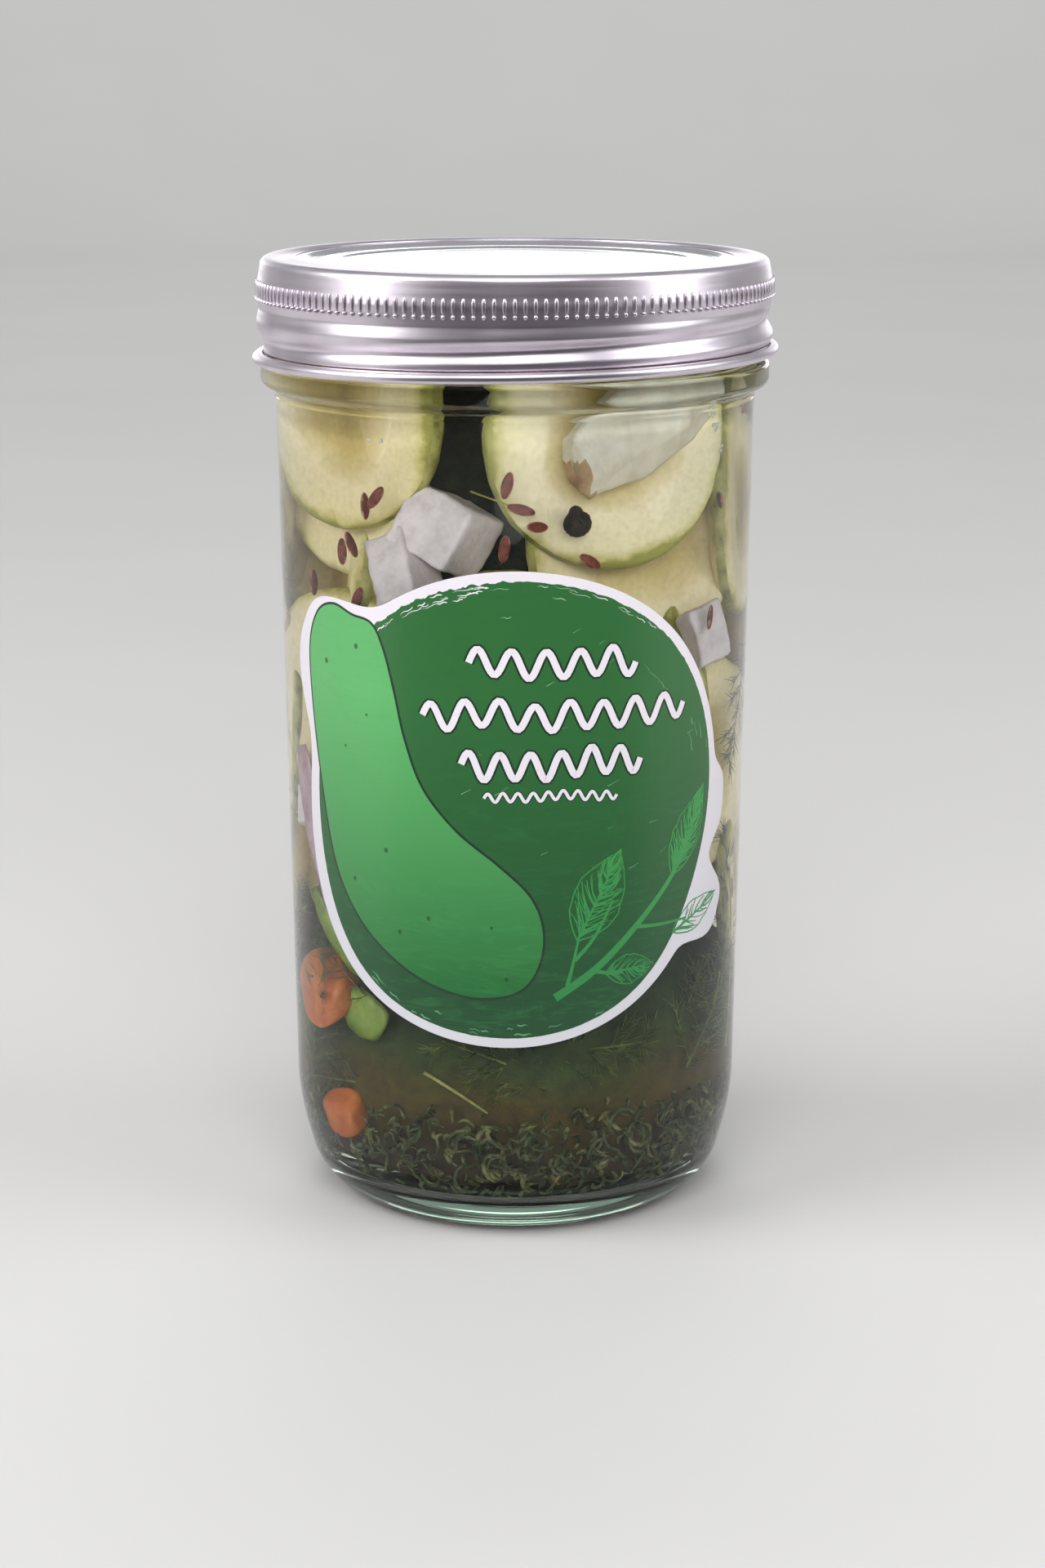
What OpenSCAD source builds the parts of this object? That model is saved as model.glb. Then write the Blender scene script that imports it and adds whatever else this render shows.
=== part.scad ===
// Straight-sided preserving jar of pickles: a wide-mouth glass jar filled with brine,
// shut by a flat metal lid and a screw band, with a die-cut sticker on its front.
// Millimetres. +Z is up, the sticker faces -Y and the jar stands on z = 0.

/* [Glass] */
// Height of the glass from the table to the rim
jar_h = 165.3; // [135:0.1:200]
// Outer radius of the body just under its shoulder
body_top_r = 41.5; // [34:0.1:52]
// How much narrower the body is just above its heel
body_taper = 2.2; // [0:0.1:4]
// Thickness of the side wall
wall_t = 3; // [2:0.1:4]
// Height of the inside floor above the table
floor_h = 5.8; // [4:0.1:9]
// Height at which the straight body meets the rounded heel
heel_h = 16.7; // [12:0.1:24]
// How far the knuckle under the heel lies inside the foot of the body
knuckle_in = 3.6; // [1:0.1:6]
// Height of the knuckle under the heel
knuckle_h = 2.7; // [1:0.1:5]
// Outer radius of the flat ring that the jar rests on
rest_ring_r = 30; // [24:0.1:34]
// Width of the ring that the jar rests on
rest_ring_w = 2.2; // [1:0.1:4]
// Height of the shallow hollow under the base
punt_h = 1.8; // [0.5:0.1:3]

/* [Finish] */
// Inner radius of the mouth
mouth_r = 38; // [30:0.1:44]
// Thickness of the glass at the mouth
mouth_wall_t = 3.9; // [3:0.1:5]
// Height of the neck above the bead
neck_h = 17.1; // [14:0.1:22]
// How far the bead stands out from the neck
bead_out = 2.1; // [1:0.1:3]
// Height of the bead's upright face
bead_h = 3.6; // [2:0.1:6]
// Height of the rounded step from the bead to the body
bead_step_h = 1.3; // [0.8:0.1:3]

/* [Contents] */
// Space between the brine and the rim
headspace = 12.7; // [6:0.1:25]

/* [Lid] */
// Thickness of the metal of the lid
lid_t = 0.3; // [0.2:0.05:0.6]
// How far the lid reaches past the neck all round
lid_overhang = 0.2; // [0:0.05:0.3]
// How far the flat edge of the lid reaches inside the mouth
lid_seat_in = 1.1; // [0.5:0.1:4]
// How far the middle of the lid is pressed down
lid_panel_drop = 0.8; // [0:0.1:1.5]
// Width of the slope from the seat to the pressed middle
lid_slope_w = 1.2; // [0.8:0.1:2]

/* [Screw band] */
// Thickness of the metal of the band
band_t = 0.3; // [0.2:0.05:0.5]
// Width of the flange that holds the lid down
band_flange_w = 5.7; // [3:0.1:8]
// How far the top edge of the band stands out from the neck
band_shoulder_out = 1.7; // [1.5:0.1:3]
// How far the rolled ridges of the band stand out from the neck
band_ridge_out = 2.6; // [2.2:0.1:4]
// Depth of the narrow groove under the knurled ridge
band_groove_depth = 0.75; // [0.3:0.05:1]
// Depth of the thread groove
band_thread_depth = 1.25; // [0.5:0.05:1.4]
// Gap between the curl at the foot of the band and the bead of the glass
curl_gap = 0.45; // [0.3:0.05:2]
// Radius of the rolled curl at the foot of the band
curl_r = 0.85; // [0.6:0.05:1.2]
// How far the curl stands out from the neck
curl_out = 3.6; // [3:0.1:5]

/* [Sticker] */
// Thickness of the sticker
sticker_t = 0.15; // [0.1:0.05:0.4]
// Radius of the round field of the sticker
sticker_r = 40.8; // [25:0.1:42]
// How far the sticker's middle lies below the middle of the straight wall
sticker_drop = 3; // [-10:0.1:12]

/* [Hidden] */
$fn = 128;
arc_step = 9;          // degrees between two points of an arc in a profile
glue_gap = 0.02;       // film of glue between the sticker and the glass

// Glass
body_foot_r = body_top_r - body_taper;
neck_r = mouth_r + mouth_wall_t;
bead_top_z = jar_h - neck_h;
bead_foot_z = bead_top_z - bead_h;
shoulder_z = bead_foot_z - bead_step_h;
bead_r = neck_r + bead_out;
taper_slope = body_taper / (shoulder_z - heel_h);
punt_r = rest_ring_r - rest_ring_w - 3;

// Brine
brine_top_z = jar_h - headspace;

// Lid and band
lid_top_z = jar_h + lid_t;
lid_r = neck_r + lid_overhang;
lid_slope_r = mouth_r - lid_seat_in;
band_top_z = lid_top_z + band_t;
band_shoulder_r = neck_r + band_shoulder_out;
ridge_r = neck_r + band_ridge_out;
curl_centre_r = neck_r + curl_out - curl_r;
curl_z = bead_top_z + curl_gap + curl_r;

// Sticker
sticker_mid_z = (heel_h + shoulder_z) / 2 - sticker_drop;

// Radius of the outside of the body at height z
function body_r(z) = body_foot_r + taper_slope * (z - heel_h);

function unit(v) = v / norm(v);
function flat(v) = [v.x, v.y];

// How far a rounding of radius b.z reaches along the two edges that meet at corner b
function half_angle(a, b, c) = acos(unit(flat(a - b)) * unit(flat(c - b))) / 2;
function reach(p, i) =
    i <= 0 || i >= len(p) - 1 ? 0 : p[i].z / tan(half_angle(p[i - 1], p[i], p[i + 1]));

// The share of its reach that the roundings at both ends of edge i may have
function share(p, i) =
    let (wanted = reach(p, i) + reach(p, i + 1))
    min(1, 0.98 * norm(flat(p[i + 1] - p[i])) / max(wanted, 1e-6));

// The arc that rounds corner i of an open line of corners [x, y, radius]
function corner(p, i) =
    reach(p, i) == 0 ? [flat(p[i])] :
    let (
        a = flat(p[i - 1]), b = flat(p[i]), c = flat(p[i + 1]),
        half = half_angle(p[i - 1], p[i], p[i + 1]),
        back = unit(a - b), ahead = unit(c - b),
        run = reach(p, i) * min(share(p, i - 1), share(p, i)),
        radius = run * tan(half),
        centre = b + unit(back + ahead) * radius / sin(half),
        first = b + back * run - centre,
        start = atan2(first.y, first.x),
        turn = (180 - 2 * half) * sign(cross(-back, ahead)),
        steps = max(2, ceil(abs(turn) / arc_step))
    )
    [for (k = [0 : steps]) let (angle = start + turn * k / steps)
        centre + radius * [cos(angle), sin(angle)]];

function rounded(p) = [for (i = [0 : len(p) - 1]) each corner(p, i)];

// The line that lies t to the right of a line of points, walking along it
function beside(p, t) = [for (i = [0 : len(p) - 1])
    let (along = unit(p[min(i + 1, len(p) - 1)] - p[max(i - 1, 0)]))
    p[i] + t * [along.y, -along.x]];

// A sheet of thickness t whose left face is the line p
function sheet(p, t) =
    let (other = beside(p, t), last = len(p) - 1)
    concat(p, [for (i = [0 : last]) other[last - i]]);

// Inside of the glass from the middle of the floor to the rim
inside_line = rounded([
    [0, floor_h, 0],
    [body_r(floor_h) - wall_t, floor_h, 9],
    [body_r(shoulder_z) - wall_t, shoulder_z, 6],
    [mouth_r, bead_top_z, 6],
    [mouth_r, jar_h, 1],
    [mouth_r + mouth_wall_t / 2, jar_h, 0],
]);

// Outside of the glass from the rim to the middle of the base
outside_line = rounded([
    [mouth_r + mouth_wall_t / 2, jar_h, 0],
    [neck_r, jar_h, 1.2],
    [neck_r, bead_top_z, 0.4],
    [bead_r, bead_top_z, 0.8],
    [bead_r, bead_foot_z, 1.5],
    [body_r(shoulder_z), shoulder_z, 1],
    [body_foot_r, heel_h, 35],
    [body_foot_r - knuckle_in, knuckle_h, 11],
    [rest_ring_r, 0, 0.8],
    [rest_ring_r - rest_ring_w, 0, 0.8],
    [punt_r, punt_h, 3],
    [0, punt_h, 0],
]);

module glass_jar() {
    color("gainsboro", 0.4)
        rotate_extrude() polygon(concat(inside_line, outside_line));
}

// The brine fills the glass from its floor to its level, wall to wall
module brine() {
    side = [for (p = inside_line) if (p.y < brine_top_z) p];
    wall = [for (p = inside_line) if (p.y > floor_h && p.y < jar_h) [p.y, p.x]];
    color("olive", 0.7)
        rotate_extrude()
        polygon(concat(side, [[lookup(brine_top_z, wall), brine_top_z], [0, brine_top_z]]));
}

// Flat lid with its middle pressed down inside the mouth
module lid_disc() {
    top = rounded([
        [0, lid_top_z - lid_panel_drop, 0],
        [lid_slope_r - lid_slope_w, lid_top_z - lid_panel_drop, 1],
        [lid_slope_r, lid_top_z, 1],
        [lid_r, lid_top_z, 0],
    ]);
    color("silver")
        rotate_extrude() polygon(sheet(top, lid_t));
}

// Height on the band, at a share of the way from its top down to its curl
function band_z(share) = band_top_z - share * (band_top_z - curl_z);

// Screw band: a flange on the lid, a ridged skirt and a rolled curl
module screw_band() {
    skirt = rounded([
        [band_shoulder_r - band_flange_w, band_top_z, 0],
        [band_shoulder_r, band_top_z, 1.3],
        [ridge_r, band_z(0.32), 3],
        [ridge_r - band_groove_depth, band_z(0.52), 0.9],
        [ridge_r, band_z(0.66), 1.8],
        [ridge_r - band_thread_depth, band_z(0.8), 1.2],
        [curl_centre_r, curl_z + curl_r / 2, 0],
    ]);
    color("thistle")
        union() {
            rotate_extrude() polygon(sheet(skirt, band_t));
            rotate_extrude() translate([curl_centre_r, curl_z]) circle(curl_r, $fn = 48);
        }
}

// One smooth lobe of the sticker's edge: how far it stands out at angle a, in degrees
function turned(a) = a - 360 * round(a / 360);
function lobe(a, middle, out, low_w, high_w, sharp) =
    let (off = turned(a - middle))
    out * exp(-pow(abs(off) / (off < 0 ? low_w : high_w), sharp));

// Distance of the sticker's edge from its middle at angle a
function sticker_edge(a) = sticker_r
    + lobe(a, 144.6, 10.8, 13.3, 18, 3)
    + lobe(a, 212, 2.8, 38, 38, 2)
    + lobe(a, 333, 7.4, 10, 7.5, 4)
    + lobe(a, 358, 3.2, 10, 7.5, 4);

// The sticker wraps round the body: a flat width s becomes an angle of s / radius
module sticker() {
    low_z = sticker_mid_z - sticker_r - 1;
    high_z = sticker_mid_z + sticker_r + 1;
    wrap_r = body_r(sticker_mid_z);
    outline = [for (a = [0 : 4 : 356])
        let (edge = sticker_edge(a) * [cos(a), sin(a)])
        [wrap_r * sin(edge.x / wrap_r * 180 / PI), sticker_mid_z + edge.y]];
    color("forestgreen")
        intersection() {
            rotate([0, 0, 180])
                rotate_extrude(angle = 180)
                polygon([
                    [body_r(low_z) + glue_gap, low_z],
                    [body_r(low_z) + glue_gap + sticker_t, low_z],
                    [body_r(high_z) + glue_gap + sticker_t, high_z],
                    [body_r(high_z) + glue_gap, high_z],
                ]);
            rotate([90, 0, 0])
                linear_extrude(height = 2 * body_top_r)
                polygon(outline);
        }
}

glass_jar();
brine();
lid_disc();
screw_band();
sticker();
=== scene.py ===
"""Finish of a jar of pickles: glass, brine, lid, screw band, sticker and what is sunk in the brine."""

import math
import random

import bmesh
import bpy
from mathutils import Matrix, Vector, noise


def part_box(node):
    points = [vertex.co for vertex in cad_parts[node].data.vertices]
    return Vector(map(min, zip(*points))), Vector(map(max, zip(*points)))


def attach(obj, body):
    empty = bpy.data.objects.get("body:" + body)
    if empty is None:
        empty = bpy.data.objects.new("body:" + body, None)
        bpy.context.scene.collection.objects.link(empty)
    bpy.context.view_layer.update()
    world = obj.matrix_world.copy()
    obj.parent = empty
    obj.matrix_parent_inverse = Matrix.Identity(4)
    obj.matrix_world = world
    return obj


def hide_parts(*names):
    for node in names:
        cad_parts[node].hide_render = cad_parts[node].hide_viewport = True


bl_info = {
    "name": "Pickle Jar",
    "version": (1, 0, 0),
    "blender": (4, 5, 0),
    "location": "View3D > Sidebar > Pickle Jar",
    "description": "Models and finishes a glass jar of pickles",
    "category": "Object",
}

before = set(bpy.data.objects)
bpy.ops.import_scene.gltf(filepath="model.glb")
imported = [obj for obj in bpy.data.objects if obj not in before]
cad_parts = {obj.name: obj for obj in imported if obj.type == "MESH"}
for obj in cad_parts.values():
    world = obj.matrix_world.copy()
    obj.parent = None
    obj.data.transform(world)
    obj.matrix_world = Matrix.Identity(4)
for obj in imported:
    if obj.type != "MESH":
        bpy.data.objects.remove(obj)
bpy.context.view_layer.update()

MM = 0.001
BODY = "root"

GLASS_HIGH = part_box("glass_jar")[1]
BRINE_LOW, BRINE_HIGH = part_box("brine")
LID_LOW, LID_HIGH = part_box("lid_disc")
BAND_LOW, BAND_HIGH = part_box("screw_band")
STICKER_LOW, STICKER_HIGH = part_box("sticker")

# The glass, worked out from the boxes of the glass and of the brine that fills it.
RIM_Z = GLASS_HIGH.z
BEAD_R = GLASS_HIGH.x
NECK_R = BEAD_R - 2.1 * MM
MOUTH_R = NECK_R - 3.9 * MM
BEAD_TOP_Z = RIM_Z - 17.1 * MM
BEAD_FOOT_Z = BEAD_TOP_Z - 3.6 * MM
SHOULDER_Z = BEAD_FOOT_Z - 1.3 * MM
WALL_T = 3 * MM
BODY_TOP_R = BRINE_HIGH.x + WALL_T
HEEL_Z = 16.7 * MM
FOOT_R = BODY_TOP_R - 2.2 * MM
FLOOR_Z = BRINE_LOW.z
LEVEL_Z = BRINE_HIGH.z


def wall_radius(z):
    """Outer radius of the straight glass wall at height z."""
    return FOOT_R + (BODY_TOP_R - FOOT_R) * (z - HEEL_Z) / (SHOULDER_Z - HEEL_Z)


# ---------------------------------------------------------------- settings


def length_property(name, description, default, low, high):
    """A length, given in millimetres."""
    return bpy.props.FloatProperty(name=name, description=description, default=default * MM, min=low * MM,
                                   max=high * MM, unit="LENGTH", subtype="DISTANCE")


def count_property(name, description, default, low, high):
    return bpy.props.IntProperty(name=name, description=description, default=default, min=low, max=high)


def colour_property(name, description, default):
    return bpy.props.StringProperty(name=name, description=description, default=default)


class JarSizes(bpy.types.PropertyGroup):
    """Sizes that change how the jar is filled and finished."""

    slice_radius: length_property("Slice radius", "Radius of a cucumber slice", 20.5, 12, 24)
    slice_thickness: length_property("Slice thickness", "Thickness of a cucumber slice", 4.8, 3, 9)
    seed_length: length_property("Seed length", "Length of a dill seed", 4.7, 2, 6)
    loose_seeds: count_property(
        "Loose seeds", "Dill seeds strewn round the jar besides the placed ones", 70, 0, 300)
    sediment_bits: count_property(
        "Sediment bits", "Curled bits of dill lying on the floor of the jar", 1250, 0, 2200)
    knurl_ribs: count_property("Knurl ribs", "Upright ribs round the screw band", 168, 24, 240)
    border: length_property("Sticker border", "Width of the white edge of the sticker", 1.6, 0, 6)


class JarColours(bpy.types.PropertyGroup):
    """Colours of the finishes, as sRGB hex values."""

    flesh: colour_property("Flesh", "Outer flesh of the cucumber", "#fff4d8")
    core: colour_property("Core", "Seed core of the cucumber", "#c9b67a")
    skin: colour_property("Skin", "Skin of the cucumber", "#a5a254")
    field: colour_property(
        "Sticker field", "Green of the dry-brush streaks in the sticker's field", "#1f5c2e")
    gherkin: colour_property(
        "Sticker gherkin", "Green of the streaks in the sticker's gherkin", "#3c894a")
    ink: colour_property("Sticker outline", "Dark line round the shapes on the sticker", "#12281a")
    vinyl: colour_property("Sticker vinyl", "White of the sticker", "#cfc9d0")


def sizes():
    return bpy.context.scene.jar_sizes


def colours():
    return bpy.context.scene.jar_colours


# ---------------------------------------------------------------- materials


def colour(text):
    """Linear RGBA of an sRGB hex colour."""
    parts = [int(text[i:i + 2], 16) / 255 for i in (1, 3, 5)]
    linear = [p / 12.92 if p <= 0.04045 else ((p + 0.055) / 1.055) ** 2.4 for p in parts]
    return (*linear, 1.0)


def add_node(tree, kind, settings=None, **links):
    """Adds a node. settings holds its own properties and, under their names, its sockets' values."""
    node = tree.nodes.new(kind)
    for key, value in (settings or {}).items():
        if isinstance(key, str) and hasattr(node, key) and key not in node.inputs:
            setattr(node, key, value)
        else:
            node.inputs[key].default_value = value
    for key, source in links.items():
        name = int(key[1:]) if key[0] == "i" and key[1:].isdigit() else key.replace("_", " ")
        tree.links.new(source, node.inputs[name])
    return node


def start_material(name, settings=None):
    """A new material: its node tree, its shader with these settings, object coordinates and output."""
    material = bpy.data.materials.new(name)
    material.use_nodes = True
    tree = material.node_tree
    tree.nodes.clear()
    output = add_node(tree, "ShaderNodeOutputMaterial")
    shader = add_node(tree, "ShaderNodeBsdfPrincipled", settings)
    tree.links.new(shader.outputs[0], output.inputs["Surface"])
    place = add_node(tree, "ShaderNodeTexCoord").outputs["Object"]
    return material, tree, shader, place, output


def ramp(tree, factor, *stops):
    """A colour ramp through (position, hex colour) stops."""
    node = add_node(tree, "ShaderNodeValToRGB", Fac=factor)
    band = node.color_ramp
    while len(band.elements) < len(stops):
        band.elements.new(0.5)
    for element, (position, text) in zip(band.elements, stops):
        element.position = position
        element.color = colour(text)
    return node.outputs["Color"]


def speckle(tree, place, scale, detail=3.0, rough=0.55, stretch=None, distortion=0.0):
    """Noise with about `scale` spots to the metre, stretched along the axes if asked."""
    if stretch:
        place = add_node(tree, "ShaderNodeMapping", {"Scale": stretch}, Vector=place).outputs[0]
    settings = {"Scale": scale, "Detail": detail, "Roughness": rough, "Distortion": distortion}
    return add_node(tree, "ShaderNodeTexNoise", settings, Vector=place).outputs["Fac"]


def mix(tree, factor, first, second, kind="MIX"):
    node = add_node(tree, "ShaderNodeMix", {"data_type": "RGBA", "blend_type": kind})
    for socket, value in ((0, factor), (6, first), (7, second)):
        if isinstance(value, bpy.types.NodeSocket):
            tree.links.new(value, node.inputs[socket])
        else:
            node.inputs[socket].default_value = value
    return node.outputs[2]


def span(tree, value, low, high, out_low=0.0, out_high=1.0):
    """Maps a value from one range to another."""
    settings = {"From Min": low, "From Max": high, "To Min": out_low, "To Max": out_high}
    return add_node(tree, "ShaderNodeMapRange", settings, Value=value).outputs[0]


def calculate(tree, operation, first, second=None):
    node = add_node(tree, "ShaderNodeMath", {"operation": operation})
    for socket, value in enumerate((first, second)):
        if isinstance(value, bpy.types.NodeSocket):
            tree.links.new(value, node.inputs[socket])
        elif value is not None:
            node.inputs[socket].default_value = value
    return node.outputs[0]


def bump(tree, shader, height, distance, strength=1.0):
    node = add_node(tree, "ShaderNodeBump", {"Strength": strength, "Distance": distance}, Height=height)
    tree.links.new(node.outputs[0], shader.inputs["Normal"])


def clear_body(name, ior, gloss, absorbed, density):
    """A clear body: gloss tints what it mirrors, and depth brings out the colour that it lets through."""
    material, tree, shader, place, output = start_material(name, {
        "Base Color": colour("#ffffff"), "Transmission Weight": 1.0, "Roughness": 0.0, "IOR": ior,
        "Specular Tint": colour(gloss)})
    absorb = add_node(tree, "ShaderNodeVolumeAbsorption", {"Color": colour(absorbed), "Density": density})
    tree.links.new(absorb.outputs[0], output.inputs["Volume"])
    return material, tree, shader, place


def pressed_glass():
    """Soda-lime glass pressed in a mould: clear, faintly green where it is thick, and slightly wavy."""
    # The brine wets the inner face, so the gloss is set well below a bare pane's.
    material, tree, shader, place = clear_body("Pressed soda-lime glass", 1.51, "#8a8a8a", "#86cda2", 14.0)
    # Slow waves about 20 mm apart are left by the mould.
    bump(tree, shader, speckle(tree, place, 50, 1.0), 0.5 * MM, 0.12)
    return material


def pickle_brine():
    """Vinegar brine: clear near the glass and olive where one looks deep into it."""
    # Glass lies against it all round, so it hardly mirrors anything when seen straight on.
    return clear_body("Vinegar brine", 1.345, "#000000", "#dccb72", 10.0)[0]


def tinplate(name, text, dull, roughness, grain, depth):
    """Tin-plated steel sheet: a satin metal, cloudy in places, with fine scratches round the part."""
    material, tree, shader, place, _ = start_material(name, {"Metallic": 1.0})
    cloudy = speckle(tree, place, 90, 2.0)
    tint = mix(tree, span(tree, cloudy, 0.4, 0.7), colour(text), colour(dull))
    tree.links.new(tint, shader.inputs["Base Color"])
    # Squeezing the noise across the part draws it out into scratches.
    scratches = speckle(tree, place, grain, 2.0, 0.6, (0.03, 0.03, 1.0))
    tree.links.new(span(tree, scratches, 0.3, 0.7, roughness - 0.03, roughness + 0.05),
                   shader.inputs["Roughness"])
    bump(tree, shader, scratches, depth, 0.25)
    return material


def cucumber_flesh():
    """Pickled cucumber flesh: waxy cream flesh round a darker core with three seed chambers."""
    material, tree, shader, place, _ = start_material("Pickled cucumber flesh", {
        "Roughness": 0.35, "IOR": 1.4, "Subsurface Weight": 0.1, "Subsurface Radius": (1.0, 0.8, 0.35),
        "Subsurface Scale": 3 * MM})
    uv = add_node(tree, "ShaderNodeUVMap", {"uv_map": "slice"}).outputs[0]
    centred = add_node(tree, "ShaderNodeVectorMath", {"operation": "SUBTRACT", 1: (0.5, 0.5, 0.0)}, i0=uv)
    length = add_node(tree, "ShaderNodeVectorMath", {"operation": "LENGTH"}, i0=centred.outputs[0])
    axis = add_node(tree, "ShaderNodeSeparateXYZ", i0=centred.outputs[0])
    angle = calculate(tree, "ARCTAN2", axis.outputs[1], axis.outputs[0])
    lobes = calculate(tree, "COSINE", calculate(tree, "MULTIPLY", angle, 3.0))
    radius = calculate(tree, "ADD", calculate(tree, "MULTIPLY", length.outputs["Value"], 2.0),
                       calculate(tree, "MULTIPLY", lobes, 0.05))
    cloud = speckle(tree, place, 140, 4.0, 0.6)
    wobble = calculate(tree, "ADD", radius, span(tree, cloud, 0.0, 1.0, -0.14, 0.14))
    base = ramp(tree, wobble, (0.0, "#a8965c"), (0.28, colours().core), (0.48, "#e8daac"),
                (0.6, colours().flesh), (0.89, "#fbf2cc"), (0.96, "#ded796"), (1.0, "#a9a758"))
    # The flesh is mottled with marks about 1 mm across.
    mottle = speckle(tree, place, 900, 3.0, 0.6)
    tone = add_node(tree, "ShaderNodeAttribute", {"attribute_name": "tone"}).outputs["Fac"]
    shaded = mix(tree, span(tree, mottle, 0.4, 0.75, 0.0, 0.3), base, colour("#cdc096"), "MULTIPLY")
    toned = mix(tree, tone, shaded, colour("#e6d6a0"), "MULTIPLY")
    tree.links.new(toned, shader.inputs["Base Color"])
    height = calculate(tree, "ADD", calculate(tree, "MULTIPLY", mottle, 0.3), cloud)
    bump(tree, shader, height, 0.5 * MM, 0.4)
    return material


def cucumber_skin():
    """Pickled cucumber skin: dull olive with paler patches and small bumps."""
    material, tree, shader, place, _ = start_material("Pickled cucumber skin", {"Roughness": 0.4})
    patches = speckle(tree, place, 260, 4.0, 0.6)
    tree.links.new(ramp(tree, patches, (0.3, "#5c6124"), (0.5, colours().skin), (0.7, "#c4bf7c")),
                   shader.inputs["Base Color"])
    bump(tree, shader, speckle(tree, place, 500, 2.0), 0.4 * MM, 0.5)
    return material


def vegetable(name, low, middle, high, scale, gloss, soft, depth=2 * MM, relief=0.4):
    """Pickled vegetable flesh: three tones in soft patches, light that sinks in a little, fine relief."""
    material, tree, shader, place, _ = start_material(name, {
        "Roughness": gloss, "Subsurface Weight": soft, "Subsurface Radius": (1.0, 0.8, 0.6),
        "Subsurface Scale": depth})
    patches = speckle(tree, place, scale, 4.0, 0.6)
    tree.links.new(ramp(tree, patches, (0.3, low), (0.5, middle), (0.7, high)), shader.inputs["Base Color"])
    bump(tree, shader, speckle(tree, place, scale * 4, 3.0), 0.3 * MM, relief)
    return material


def printed_vinyl(name, top, bottom, streak, amount):
    """Screen-printed vinyl: a satin ink that runs from one tone at the top to a darker one at the foot,
    with dry-brush streaks. The darker foot is painted shade."""
    material, tree, shader, place, _ = start_material(name, {
        "Roughness": 0.38, "Coat Weight": 0.25, "Coat Roughness": 0.3})
    axis = add_node(tree, "ShaderNodeSeparateXYZ", i0=place)
    # The tone darkens towards the foot of the sticker: painted shade.
    fade = span(tree, axis.outputs[2], STICKER_LOW.z + 8 * MM, STICKER_HIGH.z - 22 * MM)
    tone = mix(tree, fade, colour(bottom), colour(top))
    strokes = speckle(tree, place, 420, 5.0, 0.65, (0.25, 0.25, 1.3), 1.5)
    brushed = mix(tree, span(tree, strokes, 0.5, 0.75, 0.0, amount), tone, colour(streak))
    tree.links.new(brushed, shader.inputs["Base Color"])
    bump(tree, shader, speckle(tree, place, 1500, 2.0), 0.02 * MM, 0.2)
    return material


def matt(name, low, high, scale, gloss):
    """A matt surface in two close tones."""
    material, tree, shader, place, _ = start_material(name, {"Roughness": 0.9, "Specular IOR Level": gloss})
    tree.links.new(mix(tree, speckle(tree, place, scale, 2.0), colour(low), colour(high)),
                   shader.inputs["Base Color"])
    return material


# ---------------------------------------------------------------- mesh helpers


def join_up(bm, verts):
    """Edges from each vertex to the next."""
    for first, second in zip(verts, verts[1:]):
        bm.edges.new((first, second))


def face_out(bm):
    bmesh.ops.recalc_face_normals(bm, faces=bm.faces[:])


def line_of_corners(bm, corners):
    """A line through (radius, height, rounding) corners in the XZ plane, each corner rounded."""
    verts = [bm.verts.new((x, 0, z)) for x, z, _ in corners]
    join_up(bm, verts)
    for vert, (_, _, rounding) in zip(verts, corners):
        if rounding:
            ends = [(e.other_vert(vert).co - vert.co).normalized() for e in vert.link_edges]
            half = ends[0].angle(ends[1]) / 2
            segments = max(3, round(math.degrees(math.pi - 2 * half) / 8))
            bmesh.ops.bevel(bm, geom=[vert], offset=rounding / math.tan(half), offset_type="OFFSET",
                            segments=segments, profile=0.5, affect="VERTICES", material=-1)


def spin_round(bm, steps, dissolve=True):
    """Turns everything in bm once round the Z axis into a closed, outward-facing surface."""
    bmesh.ops.spin(bm, geom=bm.verts[:] + bm.edges[:], cent=(0, 0, 0), axis=(0, 0, 1),
                   dvec=(0, 0, 0), angle=2 * math.pi, steps=steps, use_merge=True, use_duplicate=False)
    bmesh.ops.remove_doubles(bm, verts=bm.verts[:], dist=0.002 * MM)
    if dissolve:
        bmesh.ops.dissolve_degenerate(bm, dist=0.001 * MM, edges=bm.edges[:])
    face_out(bm)


def template(bm, name="template"):
    """The bmesh as a loose mesh that stamp() can copy."""
    mesh = bpy.data.meshes.new(name)
    bm.to_mesh(mesh)
    bm.free()
    return mesh


def stamp(bm, mesh, matrix):
    """Adds a copy of the mesh, placed by the matrix."""
    copy = mesh.copy()
    copy.transform(matrix)
    bm.from_mesh(copy)
    bpy.data.meshes.remove(copy)


def add_object(name, data):
    item = bpy.data.objects.new(name, data)
    bpy.context.collection.objects.link(item)
    return item


def mesh_object(bm, name, materials, smooth):
    """Writes the bmesh to an object."""
    mesh = template(bm, name)
    for material in materials:
        mesh.materials.append(material)
    for polygon in mesh.polygons:
        polygon.use_smooth = smooth
    return add_object(name, mesh)


def make_piece(bm, name, materials, nodes=(), flat=False):
    """Writes the bmesh to an object that rides on the jar."""
    piece = mesh_object(bm, name, materials, not flat)
    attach(piece, BODY)
    if nodes:
        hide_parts(*nodes)


def fractions(steps):
    """From 0 to 1 in equal steps, both ends included."""
    return [k / steps for k in range(steps + 1)]


def spot(azimuth, radius, z):
    """A place in the jar: azimuth in degrees from the front, positive to the right; millimetres."""
    a = math.radians(azimuth)
    return Vector((radius * math.sin(a), -radius * math.cos(a), z)) * MM


def facing_out(azimuth, radius, z, spin=0.0, lean=0.0, yaw=0.0):
    """A matrix that stands a flat piece, made in XY, upright with its +Z face towards the wall."""
    return (Matrix.Translation(spot(azimuth, radius, z))
            @ Matrix.Rotation(math.radians(azimuth + yaw), 4, "Z")
            @ Matrix.Rotation(math.radians(90 - lean), 4, "X")
            @ Matrix.Rotation(math.radians(spin), 4, "Z"))


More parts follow.
